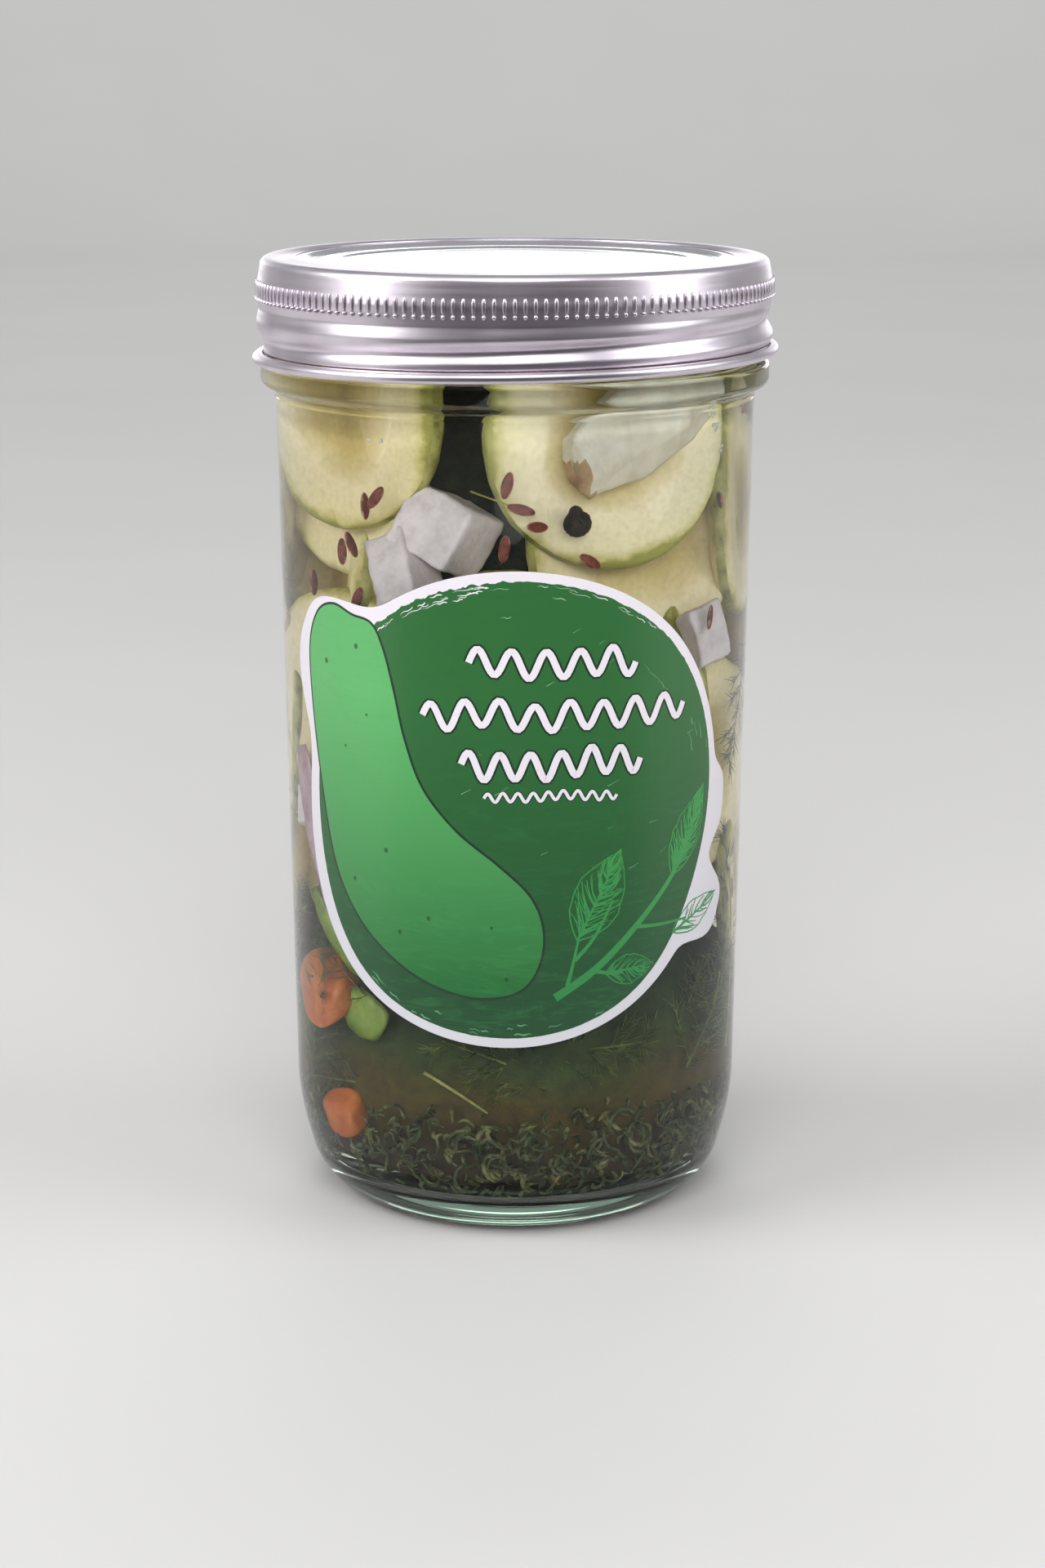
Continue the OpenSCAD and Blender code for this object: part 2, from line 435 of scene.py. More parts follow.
def roughen(bm, amount, size, seed, verts=None):
    """Moves vertices along smooth noise: amount and size of the lumps in metres."""
    shift = Vector((seed * 7.31, seed * 3.17, seed * 1.93))
    for vert in verts or bm.verts:
        vert.co += noise.noise_vector(vert.co / size + shift) * amount


# ---------------------------------------------------------------- glass and brine


def inside_corners(grow=0.0, top=None):
    """Corners of the inside of the glass, from the middle of the floor up; grow reaches into the wall."""
    corners = [
        (0, FLOOR_Z - grow, 0),
        (wall_radius(FLOOR_Z) - WALL_T + grow, FLOOR_Z - grow, 9 * MM),
    ]
    if top is not None:
        return corners + [(wall_radius(top) - WALL_T + grow, top, 0)]
    return corners + [
        (wall_radius(SHOULDER_Z) - WALL_T, SHOULDER_Z, 6 * MM),
        (MOUTH_R, BEAD_TOP_Z, 6 * MM),
        (MOUTH_R, RIM_Z, 1 * MM),
    ]


class MakeGlass(bpy.types.Operator):
    """Makes the glass jar"""

    bl_idname = "pickle_jar.glass"
    bl_label = "Glass jar"

    def execute(self, context):
        seam_z = SHOULDER_Z - 1.2 * MM
        seam_r = wall_radius(seam_z)
        ring_out, ring_in = 30 * MM, 27.8 * MM  # the ring that the jar stands on
        hollow = 1.8 * MM  # height of the push-up inside the ring
        bm = bmesh.new()
        line_of_corners(bm, inside_corners() + [
            (NECK_R, RIM_Z, 1.2 * MM),
            (NECK_R, BEAD_TOP_Z, 0.4 * MM),
            (BEAD_R, BEAD_TOP_Z, 0.8 * MM),
            (BEAD_R, BEAD_FOOT_Z, 1.5 * MM),
            (wall_radius(SHOULDER_Z), SHOULDER_Z, 0.8 * MM),
            (seam_r, seam_z + 0.12 * MM, 0),
            (seam_r + 0.1 * MM, seam_z, 0),
            (seam_r, seam_z - 0.12 * MM, 0),
            (FOOT_R, HEEL_Z, 35 * MM),
            (FOOT_R - 3.6 * MM, 2.7 * MM, 11 * MM),
            (ring_out, 0, 0.8 * MM),
            (ring_in, 0, 0.8 * MM),
            (ring_in - 3 * MM, hollow, 3 * MM),
            (0, hollow, 0),
        ])
        spin_round(bm, 192)
        make_piece(bm, "glass", [pressed_glass()], ["glass_jar"])
        return {"FINISHED"}


class MakeBrine(bpy.types.Operator):
    """Fills the jar with brine that reaches just into the wall"""

    bl_idname = "pickle_jar.brine"
    bl_label = "Brine"

    def execute(self, context):
        bm = bmesh.new()
        reach = 0.15 * MM
        line_of_corners(bm, inside_corners(reach, SHOULDER_Z) + [
            (MOUTH_R + reach, BEAD_TOP_Z, 4 * MM),
            (MOUTH_R + reach, LEVEL_Z, 0),
            (MOUTH_R - 2 * MM, LEVEL_Z, 0),
            (0, LEVEL_Z, 0),
        ])
        spin_round(bm, 160)
        make_piece(bm, "brine_fill", [pickle_brine()], ["brine"])
        return {"FINISHED"}


# ---------------------------------------------------------------- closure


SHEET_T = 0.3 * MM  # thickness of the lid and of the band

class MakeLid(bpy.types.Operator):
    """Makes the flat lid"""

    bl_idname = "pickle_jar.lid"
    bl_label = "Lid"

    def execute(self, context):
        top, low = LID_HIGH.z, LID_LOW.z
        edge = LID_HIGH.x
        step = top - low - SHEET_T
        slope = MOUTH_R - 1.1 * MM
        bm = bmesh.new()
        line_of_corners(bm, [
            (0, top - step * 0.55, 0),
            (15 * MM, top - step * 0.55, 8 * MM),
            (27 * MM, top - step, 3 * MM),
            (30.5 * MM, top - step, 0.8 * MM),
            (31.3 * MM, top - step * 0.6, 0.8 * MM),
            (34.2 * MM, top - step * 0.6, 0.8 * MM),
            (slope - 1.2 * MM, top - step, 0.8 * MM),
            (slope, top, 0.9 * MM),
            (edge, top, 0),
        ])
        sheet_up(bm, SHEET_T)
        spin_round(bm, 360)
        tin = tinplate("Bright tinplate of the lid", "#f4f3f5", "#ece8ee", 0.14, 500, 0.0015 * MM)
        make_piece(bm, "lid_plate", [tin], ["lid_disc"])
        return {"FINISHED"}


def walk(bm):
    """The vertices of an open line in order, from the end nearer the axis."""
    ends = [v for v in bm.verts if len(v.link_edges) == 1]
    start = min(ends, key=lambda v: (round(v.co.x, 7), -v.co.z))
    path, edge = [start], None
    while True:
        onward = [e for e in path[-1].link_edges if e is not edge]
        if not onward:
            return path
        edge = onward[0]
        path.append(edge.other_vert(path[-1]))


def sheet_up(bm, thickness):
    """Turns an open line into the closed outline of a sheet, thickness below or inside it."""
    path = walk(bm)
    twins = []
    for i, vert in enumerate(path):
        along = (path[min(i + 1, len(path) - 1)].co - path[max(i - 1, 0)].co).normalized()
        twins.append(bm.verts.new(vert.co + Vector((along.z, 0, -along.x)) * thickness))
    join_up(bm, twins)
    bm.edges.new((path[-1], twins[-1]))
    if path[0].co.x > 0.1 * MM:
        bm.edges.new((path[0], twins[0]))


THREAD_RISE = 6.4 * MM      # height that the rolled thread climbs in one turn
THREAD_FRONT_Z = 153.6 * MM  # height of the thread groove at the front
THREAD_DEPTH = 1.25 * MM
THREAD_UPPER_WIDTH = 1.3 * MM
THREAD_LOWER_WIDTH = 1.7 * MM  # the lower flank is drawn out, so that it looks up
SKIRT_TILT = 0.8 * MM       # the foot of the band sits a little higher on the right


def roll_thread(co):
    """Presses the thread groove into a point of the band's skirt and tips the foot of the skirt."""
    turn = math.atan2(co.y, co.x) + math.pi / 2
    turn = (turn + math.pi) % (2 * math.pi) - math.pi
    depth = 0.0
    for lap in (-1, 0, 1):
        at = turn + lap * 2 * math.pi
        centre = THREAD_FRONT_Z + THREAD_RISE * at / (2 * math.pi)
        fade = max(0.0, min(1.0, (math.radians(215) - abs(at)) / math.radians(50)))
        off = co.z - centre
        off /= THREAD_UPPER_WIDTH if off > 0 else THREAD_LOWER_WIDTH
        depth += THREAD_DEPTH * fade * math.exp(-off * off)
    radius = math.hypot(co.x, co.y)
    drop = (BAND_HIGH.z - co.z) / (BAND_HIGH.z - BAND_LOW.z)
    scale = (radius - depth) / radius
    return Vector((co.x * scale, co.y * scale, co.z + SKIRT_TILT * drop * co.x / radius))


class MakeBand(bpy.types.Operator):
    """Makes the screw band: flange, knurled ridge, rolled thread and curl"""

    bl_idname = "pickle_jar.band"
    bl_label = "Screw band"

    def execute(self, context):
        top = BAND_HIGH.z
        curl = 0.95 * MM
        curl_z = BAND_LOW.z + curl
        curl_r = BAND_HIGH.x - curl
        ridge = NECK_R + 2.6 * MM
        bm = bmesh.new()
        line_of_corners(bm, [
            (MOUTH_R - 0.1 * MM, top, 0),
            (NECK_R + 1.7 * MM, top, 1.3 * MM),
            (ridge, top - 5.3 * MM, 3 * MM),
            (ridge - 0.4 * MM, top - 8.2 * MM, 1.2 * MM),
            (ridge + 0.05 * MM, top - 10.2 * MM, 1.6 * MM),
            (ridge + 0.05 * MM, top - 13.9 * MM, 1.6 * MM),
            (ridge - 0.6 * MM, top - 15.4 * MM, 0),
        ])
        long_edges = [e for e in bm.edges if e.calc_length() > 0.9 * MM and e.verts[0].co.z < top - 1e-5]
        for edge in long_edges:
            bmesh.ops.subdivide_edges(bm, edges=[edge], cuts=int(edge.calc_length() / (0.5 * MM)))
        sheet_up(bm, SHEET_T)
        ring = bmesh.ops.create_circle(bm, cap_ends=False, segments=20, radius=curl)["verts"]
        bmesh.ops.transform(bm, verts=ring, matrix=Matrix.Translation((curl_r, 0, curl_z))
                            @ Matrix.Rotation(math.pi / 2, 4, "X"))
        spin_round(bm, 240, dissolve=False)
        self.add_ribs(bm, ridge, top - 5 * MM)
        for vert in bm.verts:
            vert.co = roll_thread(vert.co)
        tin = tinplate("Tinplate of the screw band", "#e6dee7", "#d6cdd7", 0.33, 900, 0.006 * MM)
        make_piece(bm, "screw_ring", [tin], ["screw_band"])
        return {"FINISHED"}

    def add_ribs(self, bm, ridge, middle):
        """Upright knurled ribs, each with a small bead at its foot."""
        part = bmesh.new()
        rib = bmesh.ops.create_uvsphere(part, u_segments=6, v_segments=6, radius=1)["verts"]
        bmesh.ops.scale(part, vec=(0.3 * MM, 0.42 * MM, 1.5 * MM), verts=rib)
        bead = bmesh.ops.create_uvsphere(part, u_segments=6, v_segments=5, radius=0.42 * MM)["verts"]
        bmesh.ops.translate(part, vec=(0.06 * MM, 0, -1.6 * MM), verts=bead)
        mesh = template(part)
        count = sizes().knurl_ribs
        for i in range(count):
            turn = Matrix.Rotation(2 * math.pi * i / count, 4, "Z")
            stamp(bm, mesh, turn @ Matrix.Translation((ridge - 0.05 * MM, 0, middle)))


# ---------------------------------------------------------------- sticker


STICKER_MID_Z = (HEEL_Z + SHOULDER_Z) / 2 - 3 * MM
STICKER_R = 40.8
WRAP_R = wall_radius(STICKER_MID_Z)


def lobe(angle, middle, out, low_width, high_width, sharp):
    off = (angle - middle + 180) % 360 - 180
    return out * math.exp(-(abs(off) / (low_width if off < 0 else high_width)) ** sharp)


def sticker_edge(angle):
    """Distance of the sticker's edge from its middle, in millimetres, at an angle in degrees."""
    return (STICKER_R + lobe(angle, 144.6, 10.8, 13.3, 18, 3) + lobe(angle, 212, 2.8, 38, 38, 2)
            + lobe(angle, 333, 7.4, 10, 7.5, 4) + lobe(angle, 358, 3.2, 10, 7.5, 4))


def wrap(bm, lift):
    """Bends flat art, in millimetres about the sticker's middle, round the glass, lift above it."""
    for x in range(-46, 47):
        bmesh.ops.bisect_plane(bm, geom=bm.verts[:] + bm.edges[:] + bm.faces[:], dist=1e-5,
                               plane_co=(x, 0, 0), plane_no=(1, 0, 0))
    for vert in bm.verts:
        turn = vert.co.x * MM / WRAP_R
        z = STICKER_MID_Z + vert.co.y * MM
        radius = wall_radius(z) + (lift + vert.co.z) * MM
        vert.co = Vector((radius * math.sin(turn), -radius * math.cos(turn), z))


def flat_shape(bm, points):
    """A flat filled outline in the XY plane."""
    face = bm.faces.new([bm.verts.new((x, y, 0)) for x, y in points])
    face.normal_update()
    if face.normal.z < 0:
        face.normal_flip()


def thicken(bm, thickness):
    """Gives flat, upward-facing art its thickness."""
    bmesh.ops.triangulate(bm, faces=bm.faces[:])
    lifted = bmesh.ops.extrude_face_region(bm, geom=bm.faces[:])["geom"]
    lifted = [g for g in lifted if isinstance(g, bmesh.types.BMVert)]
    bmesh.ops.translate(bm, vec=(0, 0, thickness), verts=lifted)
    face_out(bm)


def curve_through(points, steps, closed=False):
    """A smooth line through guide points."""
    count = len(points)
    last = count if closed else count - 1
    pick = (lambda i: points[i % count]) if closed else (lambda i: points[min(max(i, 0), count - 1)])
    line = []
    for i in range(last):
        a, b, c, d = (Vector(pick(i + k)) for k in (-1, 0, 1, 2))
        for k in range(steps):
            t = k / steps
            line.append(0.5 * (2 * b + (c - a) * t + (2 * a - 5 * b + 4 * c - d) * t * t
                               + (3 * b - a - 3 * c + d) * t ** 3))
    return line if closed else line + [Vector(points[-1])]


def brush_stroke(bm, points, width, taper=1.0, level=0.0, belly=0.0):
    """A flat ribbon along the points that narrows to taper times its width; belly swells its middle."""
    rails = []
    for i, point in enumerate(points):
        along = Vector(points[min(i + 1, len(points) - 1)]) - Vector(points[max(i - 1, 0)])
        across = Vector((-along.y, along.x)).normalized()
        share = i / (len(points) - 1)
        half = width / 2 * (1 + (taper - 1) * share + belly * math.sin(math.pi * share))
        rails.append([bm.verts.new((point[0] + across.x * half * side, point[1] + across.y * half * side,
                                    level)) for side in (-1, 1)])
    for (a, b), (c, d) in zip(rails, rails[1:]):
        bm.faces.new((a, c, d, b))


def grown(points, amount):
    """A closed outline moved outwards; the points run clockwise."""
    out = []
    for i, point in enumerate(points):
        along = (points[(i + 1) % len(points)] - points[i - 1]).normalized()
        out.append(point + Vector((-along.y, along.x)) * amount)
    return out


# Guide points of the gherkin, clockwise from its top, in millimetres about the sticker's middle.
GHERKIN = (
    (-33.9, 32.9), (-29.3, 31.6), (-25.2, 30.6), (-22.9, 26.4), (-21.0, 19.5), (-19.2, 11.8), (-16.0, 3.6),
    (-10.2, -3.4), (-3.0, -9.2), (2.4, -14.6), (4.6, -20.6), (3.9, -26.6), (0.6, -31.0), (-6.4, -32.3),
    (-14.6, -30.5), (-22.4, -26.4), (-29.4, -20.4), (-34.8, -11.8), (-38.2, 1.5), (-40.4, 14.5),
    (-40.9, 24.8), (-38.2, 30.9),
)


def field_edge(angle):
    """Distance of the green field's edge from the sticker's middle, in millimetres."""
    return (STICKER_R - sizes().border / MM + lobe(angle, 225, 2.0, 30, 30, 2)
            + lobe(angle, 335, -1.5, 25, 25, 2))


class MakeSticker(bpy.types.Operator):
    """Makes the sticker: white vinyl with a green field, a gherkin, a dill sprig and plain waves"""

    bl_idname = "pickle_jar.sticker"
    bl_label = "Sticker"

    def execute(self, context):
        chosen = colours()
        # The second colour given to each ink is its tone at the foot of the sticker, darker as painted shade.
        vinyl = printed_vinyl("White vinyl", chosen.vinyl, "#b6b6bb", "#c1bbc4", 0.3)
        field = printed_vinyl("Dark green ink", "#245d2b", "#083d1c", chosen.field, 0.8)
        light = printed_vinyl("Light green ink", "#509d59", "#04551f", chosen.gherkin, 0.3)
        line = printed_vinyl("Dark outline ink", chosen.ink, chosen.ink, "#2b4a30", 0.4)
        leaf = printed_vinyl("Leaf green ink", "#3e9148", "#1f7137", "#256a34", 0.6)
        rub = printed_vinyl("Rubbed ink", "#6e9c75", "#52895f", "#366e41", 0.9)
        self.layer("sticker_base", vinyl, 0.02, 0.15, self.base, True)
        self.layer("sticker_field", field, 0.17, 0.012, self.field)
        self.layer("sticker_rubbed_marks", rub, 0.182, 0.008, self.rubbed_marks)
        self.layer("sticker_brush_marks", vinyl, 0.182, 0.008, self.brush_marks)
        self.layer("sticker_outline", line, 0.19, 0.012, self.outline)
        self.layer("sticker_gherkin", light, 0.202, 0.012, self.gherkin)
        self.layer("sticker_gherkin_dots", field, 0.214, 0.006, self.dots)
        self.layer("sticker_sprig", leaf, 0.194, 0.01, self.sprig)
        self.layer("sticker_wave_edges", line, 0.194, 0.012, self.wave_edges)
        self.layer("sticker_waves", vinyl, 0.206, 0.012, self.waves)
        return {"FINISHED"}

    def layer(self, name, material, lift, thickness, draw, whole=False):
        bm = bmesh.new()
        draw(bm)
        thicken(bm, thickness)
        wrap(bm, lift)
        make_piece(bm, name, [material], ["sticker"] if whole else (), flat=True)

    def base(self, bm):
        steps = 240
        points = []
        for k in range(steps):
            angle = 360 * k / steps
            reach, turn = sticker_edge(angle), math.radians(angle)
            points.append((reach * math.cos(turn), reach * math.sin(turn)))
        flat_shape(bm, points)

    def field(self, bm):
        """A disc whose edge is ragged like a dry brush near its upper left."""
        steps = 720
        points = []
        for k in range(steps):
            angle = 360 * k / steps
            way = Vector((math.cos(math.radians(angle)), math.sin(math.radians(angle))))
            ragged = 0.05 + lobe(angle, 112, 0.45, 22, 18, 4) + lobe(angle, 60, 0.2, 25, 25, 2)
            rough = (noise.noise((way.x * 30, way.y * 30, 4.0))
                     + 0.5 * noise.noise((way.x * 90, way.y * 90, 1.0)))
            points.append(way * (field_edge(angle) + ragged * (rough - 0.3)))
        flat_shape(bm, points)

    def arcs(self, bm, draw, count, low, high, inset, length, width):
        """Thin curved marks that follow the field's edge between two angles."""
        for number in range(count):
            start = draw.uniform(low, high)
            radius = field_edge(start) - inset * draw.random() ** 1.5 - 0.5
            turn = math.degrees(length * draw.uniform(0.4, 1.3) / radius)
            points = []
            for k in range(6):
                angle = math.radians(start + turn * k / 5)
                reach = radius + 0.12 * math.sin(k * 1.7 + number)
                points.append((reach * math.cos(angle), reach * math.sin(angle)))
            brush_stroke(bm, points, width * draw.uniform(0.4, 1.2), 0.2, number * 0.0002, 0.5)

    def brush_marks(self, bm):
        draw = random.Random(8)
        self.arcs(bm, draw, 18, 96, 128, 1.8, 3.4, 0.16)
        self.arcs(bm, draw, 8, 50, 92, 0.9, 3.0, 0.1)

    def rubbed_marks(self, bm):
        draw = random.Random(9)
        self.arcs(bm, draw, 16, 228, 300, 2.6, 2.4, 0.2)
        self.arcs(bm, draw, 16, 10, 125, 6.0, 3.0, 0.14)
        for number in range(26):
            x, y = draw.uniform(-12, 34), draw.uniform(-14, 34)
            if math.hypot(x, y) < 36:
                slant = draw.choice((0.35, 1.0)) * draw.uniform(0.6, 1.2)
                points = [(x + t, y + slant * t * 0.6) for t in (0, 0.4, 0.8, draw.uniform(1.0, 2.4))]
                brush_stroke(bm, points, draw.uniform(0.06, 0.16), 0.4, 0.004 + number * 0.0001)

    def outline(self, bm):
        flat_shape(bm, grown(curve_through(GHERKIN, 8, True), 0.42))

    def gherkin(self, bm):
        flat_shape(bm, curve_through(GHERKIN, 8, True))

    DOTS = ((-28.5, 26.5), (-36, 23), (-26.5, 15), (-31.5, 9), (-23, -8), (-30, -14), (-15, -19), (-4, -20),
            (-1.5, -29), (-20.5, -22))

    def dots(self, bm):
        draw = random.Random(2)
        for x, y in self.DOTS:
            size = draw.uniform(0.22, 0.42)
            flat_shape(bm, [(x + size * math.cos(a), y + size * 1.2 * math.sin(a))
                            for a in [math.tau * k / 10 for k in range(10)]])

    def leaf(self, bm, draw, base, tip, belly, strokes, level):
        """An almond-shaped dill leaf scribbled with fine strokes that leave its middle line."""
        base, tip = Vector(base), Vector(tip)
        along = tip - base
        across = Vector((-along.y, along.x)).normalized()

        def place(t, side):
            return base + along * t + across * side * belly * math.sin(math.pi * min(1.0, t ** 0.85))

        brush_stroke(bm, [place(t, 0) for t in fractions(8)], 0.5, 0.3, level)
        for side in (-1, 1):
            edge = [place(k / 12, side * draw.uniform(0.93, 1.05)) for k in range(12)]
            brush_stroke(bm, edge, 0.26, 0.6, level)
        for number in range(strokes):
            side = draw.choice((-1, 1))
            start, reach = draw.uniform(0.02, 0.8), draw.uniform(0.12, 0.34)
            end = draw.uniform(0.55, 1.05)
            points = [place(min(1.0, start + reach * t), side * end * t ** 0.8) for t in fractions(4)]
            brush_stroke(bm, points, draw.uniform(0.16, 0.36), 0.5, level + number * 0.0003)

    # In millimetres: the stem, its twigs, and each leaf's foot, tip, half width and number of strokes.
    STEM = ((6.8, -32.4), (14.1, -27.7), (22.0, -20.7), (29.2, -13.3), (33.2, -7.0), (36.2, 0.2))
    TWIGS = (
        ((8.9, -30.4), (9.8, -27.0), (10.8, -22.4)), ((13.8, -28.2), (16.9, -28.9), (19, -29)),
        ((21.6, -21.2), (26.0, -21.6), (33.0, -21.6)), ((10.2, -26.0), (13.8, -22.0), (17, -16)),
    )
    LEAVES = (
        ((10.6, -22.6), (18.4, -7.2), 4.6, 70), ((15.8, -28.8), (25.4, -28.2), 2.6, 34),
        ((29.6, -23.6), (42.0, -18.6), 2.5, 20), ((29.0, -13.4), (36.9, 1.4), 3.4, 80),
    )

    def sprig(self, bm):
        """A dill stem with feathery leaves."""
        draw = random.Random(5)
        brush_stroke(bm, curve_through(self.STEM, 5), 1.5, 0.3)
        for twig in self.TWIGS:
            brush_stroke(bm, curve_through(twig, 4), 0.75, 0.5, 0.001)
        for base, tip, belly, strokes in self.LEAVES:
            self.leaf(bm, draw, base, tip, belly, strokes, 0.002)

    # Middle height, left and right end and half height of each row of waves, in millimetres.
    WAVE_ROWS = ((25.2, -7.6, 20.6, 2.2), (16.5, -15.6, 30.8, 2.2), (8.2, -9.0, 21.8, 2.2),
                 (2.7, -5.2, 17.4, 0.75))

    def wave(self, bm, row, width):
        """One row of a plain wave, drawn with a round brush."""
        y, left, right, height = row
        laps = round((right - left) / (height * 2.1 + 0.9))
        steps = laps * 14
        points = []
        for k in range(steps + 1):
            x = left + (right - left) * k / steps
            lift = noise.noise((x * 0.12, y, 2.0)) * 0.9
            points.append((x, y + lift + height * math.sin(math.tau * laps * k / steps)))
        brush_stroke(bm, points, width)

    def waves(self, bm):
        for row in self.WAVE_ROWS:
            self.wave(bm, row, 1.15 if row[3] > 1 else 0.55)

    def wave_edges(self, bm):
        for row in self.WAVE_ROWS:
            self.wave(bm, row, 1.8 if row[3] > 1 else 0.85)


# ---------------------------------------------------------------- what is in the brine


def room(z):
    """Inner radius of the jar at height z, in millimetres."""
    fillet, floor = 9.0, FLOOR_Z / MM
    if z > SHOULDER_Z / MM:
        return MOUTH_R / MM
    wall = (wall_radius(z * MM) - WALL_T) / MM
    if z >= floor + fillet:
        return wall
    drop = (floor + fillet - z) / fillet
    return wall - fillet + fillet * math.sqrt(max(0.0, 1 - drop * drop))


WALL_GAP = 0.4            # between what lies in the brine and the glass, in millimetres
FLOOR_GAP = 0.5 * MM


def keep_inside(bm):
    """Draws in whatever would reach into the glass."""
    for vert in bm.verts:
        z = max(vert.co.z, FLOOR_Z + FLOOR_GAP)
        flat = math.hypot(vert.co.x, vert.co.y) or MM
        keep = min(1.0, (room(z / MM) - WALL_GAP) * MM / flat)
        vert.co = Vector((vert.co.x * keep, vert.co.y * keep, z))


def sink(bm, name, *materials):
    """Makes the piece lie in the brine, clear of the glass."""
    keep_inside(bm)
    make_piece(bm, name, materials)


# From the middle of a slice's face to its rim: share of the radius, share of half the thickness.
SLICE_FACE = ((0, 0.86), (0.16, 0.84), (0.34, 0.86), (0.5, 0.94), (0.62, 1.0), (0.78, 1.0), (0.87, 0.95),
              (0.93, 0.84), (0.97, 0.66), (0.992, 0.4), (1.0, 0.12))
SKIN_FROM = 0.984  # share of the radius where the skin starts


def cucumber_slice(radius, thickness, seed):
    """A round slice with a slightly three-sided outline, a rounded skin edge and a sunken core."""
    bm = bmesh.new()
    half = thickness / 2
    line = [(x, half * y) for x, y in SLICE_FACE] + [(x, -half * y) for x, y in reversed(SLICE_FACE)]
    join_up(bm, [bm.verts.new((x * radius, 0, z)) for x, z in line])
    spin_round(bm, 48)
    draw = random.Random(seed)
    turn, squash = draw.uniform(0, 6), draw.uniform(0.93, 1.0)
    tone = bm.verts.layers.float.new("tone")
    shade = draw.uniform(0.0, 0.45)
    uv = bm.loops.layers.uv.new("slice")
    for face in bm.faces:
        middle = face.calc_center_median()
        face.material_index = 1 if math.hypot(middle.x, middle.y) > SKIN_FROM * radius else 0
        for loop in face.loops:
            loop[uv].uv = (loop.vert.co.x / radius / 2 + 0.5, loop.vert.co.y / radius / 2 + 0.5)
    for vert in bm.verts:
        vert[tone] = shade
        angle = math.atan2(vert.co.y, vert.co.x)
        swell = 1 + 0.018 * math.cos(3 * angle + turn) + 0.02 * math.cos(2 * angle + turn * 2)
        vert.co.x *= swell
        vert.co.y *= swell * squash
        vert.co.z += 0.35 * MM * noise.noise(vert.co / (9 * MM) + Vector((seed, 0, 0)))
    roughen(bm, 0.25 * MM, 4 * MM, seed)
    return template(bm)


# Slices: azimuth, distance of the middle from the axis, height, radius factor, lean and yaw in degrees.
FRONT_SLICES = (
    (-59.5, 27.6, 143.8, 1.02, 3, 5), (30, 28.0, 138.6, 1.02, 4, -5), (-70, 22.0, 135.5, 1.02, 5, 0),
    (48, 22.5, 121.5, 1.0, 6, -6), (-58, 27.0, 93.2, 1.0, 2, 12), (66, 28.0, 81.5, 1.0, 2, 0),
    (99, 28.6, 126.0, 0.98, 3, 0), (-8, 24.0, 97.0, 1.0, 2, 0),
)
BACK_SLICES = (
    (168, 28.2, 139.0, 1.0, 4, 3), (-122, 28.0, 131.0, 1.0, 3, -4), (140, 20.5, 121.0, 1.0, 6, 0),
    (-160, 20.8, 117.0, 1.0, 6, 0), (-95, 20.5, 112.0, 1.0, 6, 0), (134, 28.2, 94.0, 1.0, 2, 3),
    (-165, 28.3, 99.0, 0.98, -3, 0), (-112, 28.4, 88.0, 1.0, 4, 0), (96, 21.0, 100.0, 1.0, 5, 0),
    (178, 28.0, 60.0, 1.0, 3, 0), (110, 28.2, 56.0, 0.98, 4, 0), (-135, 28.0, 52.0, 1.0, 3, 0),
    (150, 20.5, 76.0, 1.0, 6, 0), (-90, 21.0, 68.0, 1.0, 5, 0), (-20, 21.0, 66.0, 1.0, 4, 0),
    (30, 22.0, 92.0, 1.0, 4, 0),
)


class MakeSlices(bpy.types.Operator):
    """Makes the cucumber slices that stand against the glass"""

    bl_idname = "pickle_jar.slices"
    bl_label = "Cucumber slices"

    def execute(self, context):
        bm = bmesh.new()
        for number, (azimuth, radius, z, factor, lean, yaw) in enumerate(FRONT_SLICES + BACK_SLICES):
            mesh = cucumber_slice(sizes().slice_radius * factor, sizes().slice_thickness, number + 1)
            stamp(bm, mesh, facing_out(azimuth, radius, z, number * 47, lean, yaw))
        sink(bm, "cucumber_slices", cucumber_flesh(), cucumber_skin())
        return {"FINISHED"}


def chunk(size, seed):
    """A cut block with rounded, uneven sides."""
    bm = bmesh.new()
    bmesh.ops.create_cube(bm, size=1)
    bmesh.ops.scale(bm, vec=Vector(size) * MM, verts=bm.verts[:])
    bmesh.ops.bevel(bm, geom=bm.edges[:], offset=0.7 * MM, offset_type="OFFSET", segments=2,
                    profile=0.5, affect="EDGES", material=-1)
    bmesh.ops.subdivide_edges(bm, edges=[e for e in bm.edges if e.calc_length() > 2 * MM], cuts=7,
                              use_grid_fill=True)
    roughen(bm, 0.8 * MM, 8 * MM, seed)
    roughen(bm, 0.35 * MM, 1.2 * MM, seed + 9)
    return template(bm)


class MakeChunks(bpy.types.Operator):
    """Makes the white radish chunks"""

    bl_idname = "pickle_jar.chunks"
    bl_label = "White chunks"

    # azimuth, distance from the axis, height, size, spin
    PLACES = (
        (-22.5, 28.5, 124.2, (12.4, 11.6, 9.5), -24), (-34.5, 30.0, 116.8, (8.6, 12.4, 8.0), 24),
        (64, 32.5, 104.0, (8.0, 11.0, 5.0), 10), (160, 33.0, 78.0, (12.0, 10.0, 6.0), 30),
        (-150, 33.0, 72.0, (10.0, 12.0, 6.0), -15), (-72, 33.0, 72.5, (9.0, 8.0, 4.5), 12),
        (120, 33.0, 116.0, (9.0, 9.0, 6.0), 40),
    )

    def execute(self, context):
        bm = bmesh.new()
        for number, (azimuth, radius, z, size, spin) in enumerate(self.PLACES):
            stamp(bm, chunk(size, number + 3), facing_out(azimuth, radius, z, spin, 12, -14))
        white = vegetable("White radish flesh", "#d2c9cf", "#e6dde4", "#f2eaf1", 260, 0.55, 0.0)
        sink(bm, "radish_chunks", white)
        return {"FINISHED"}


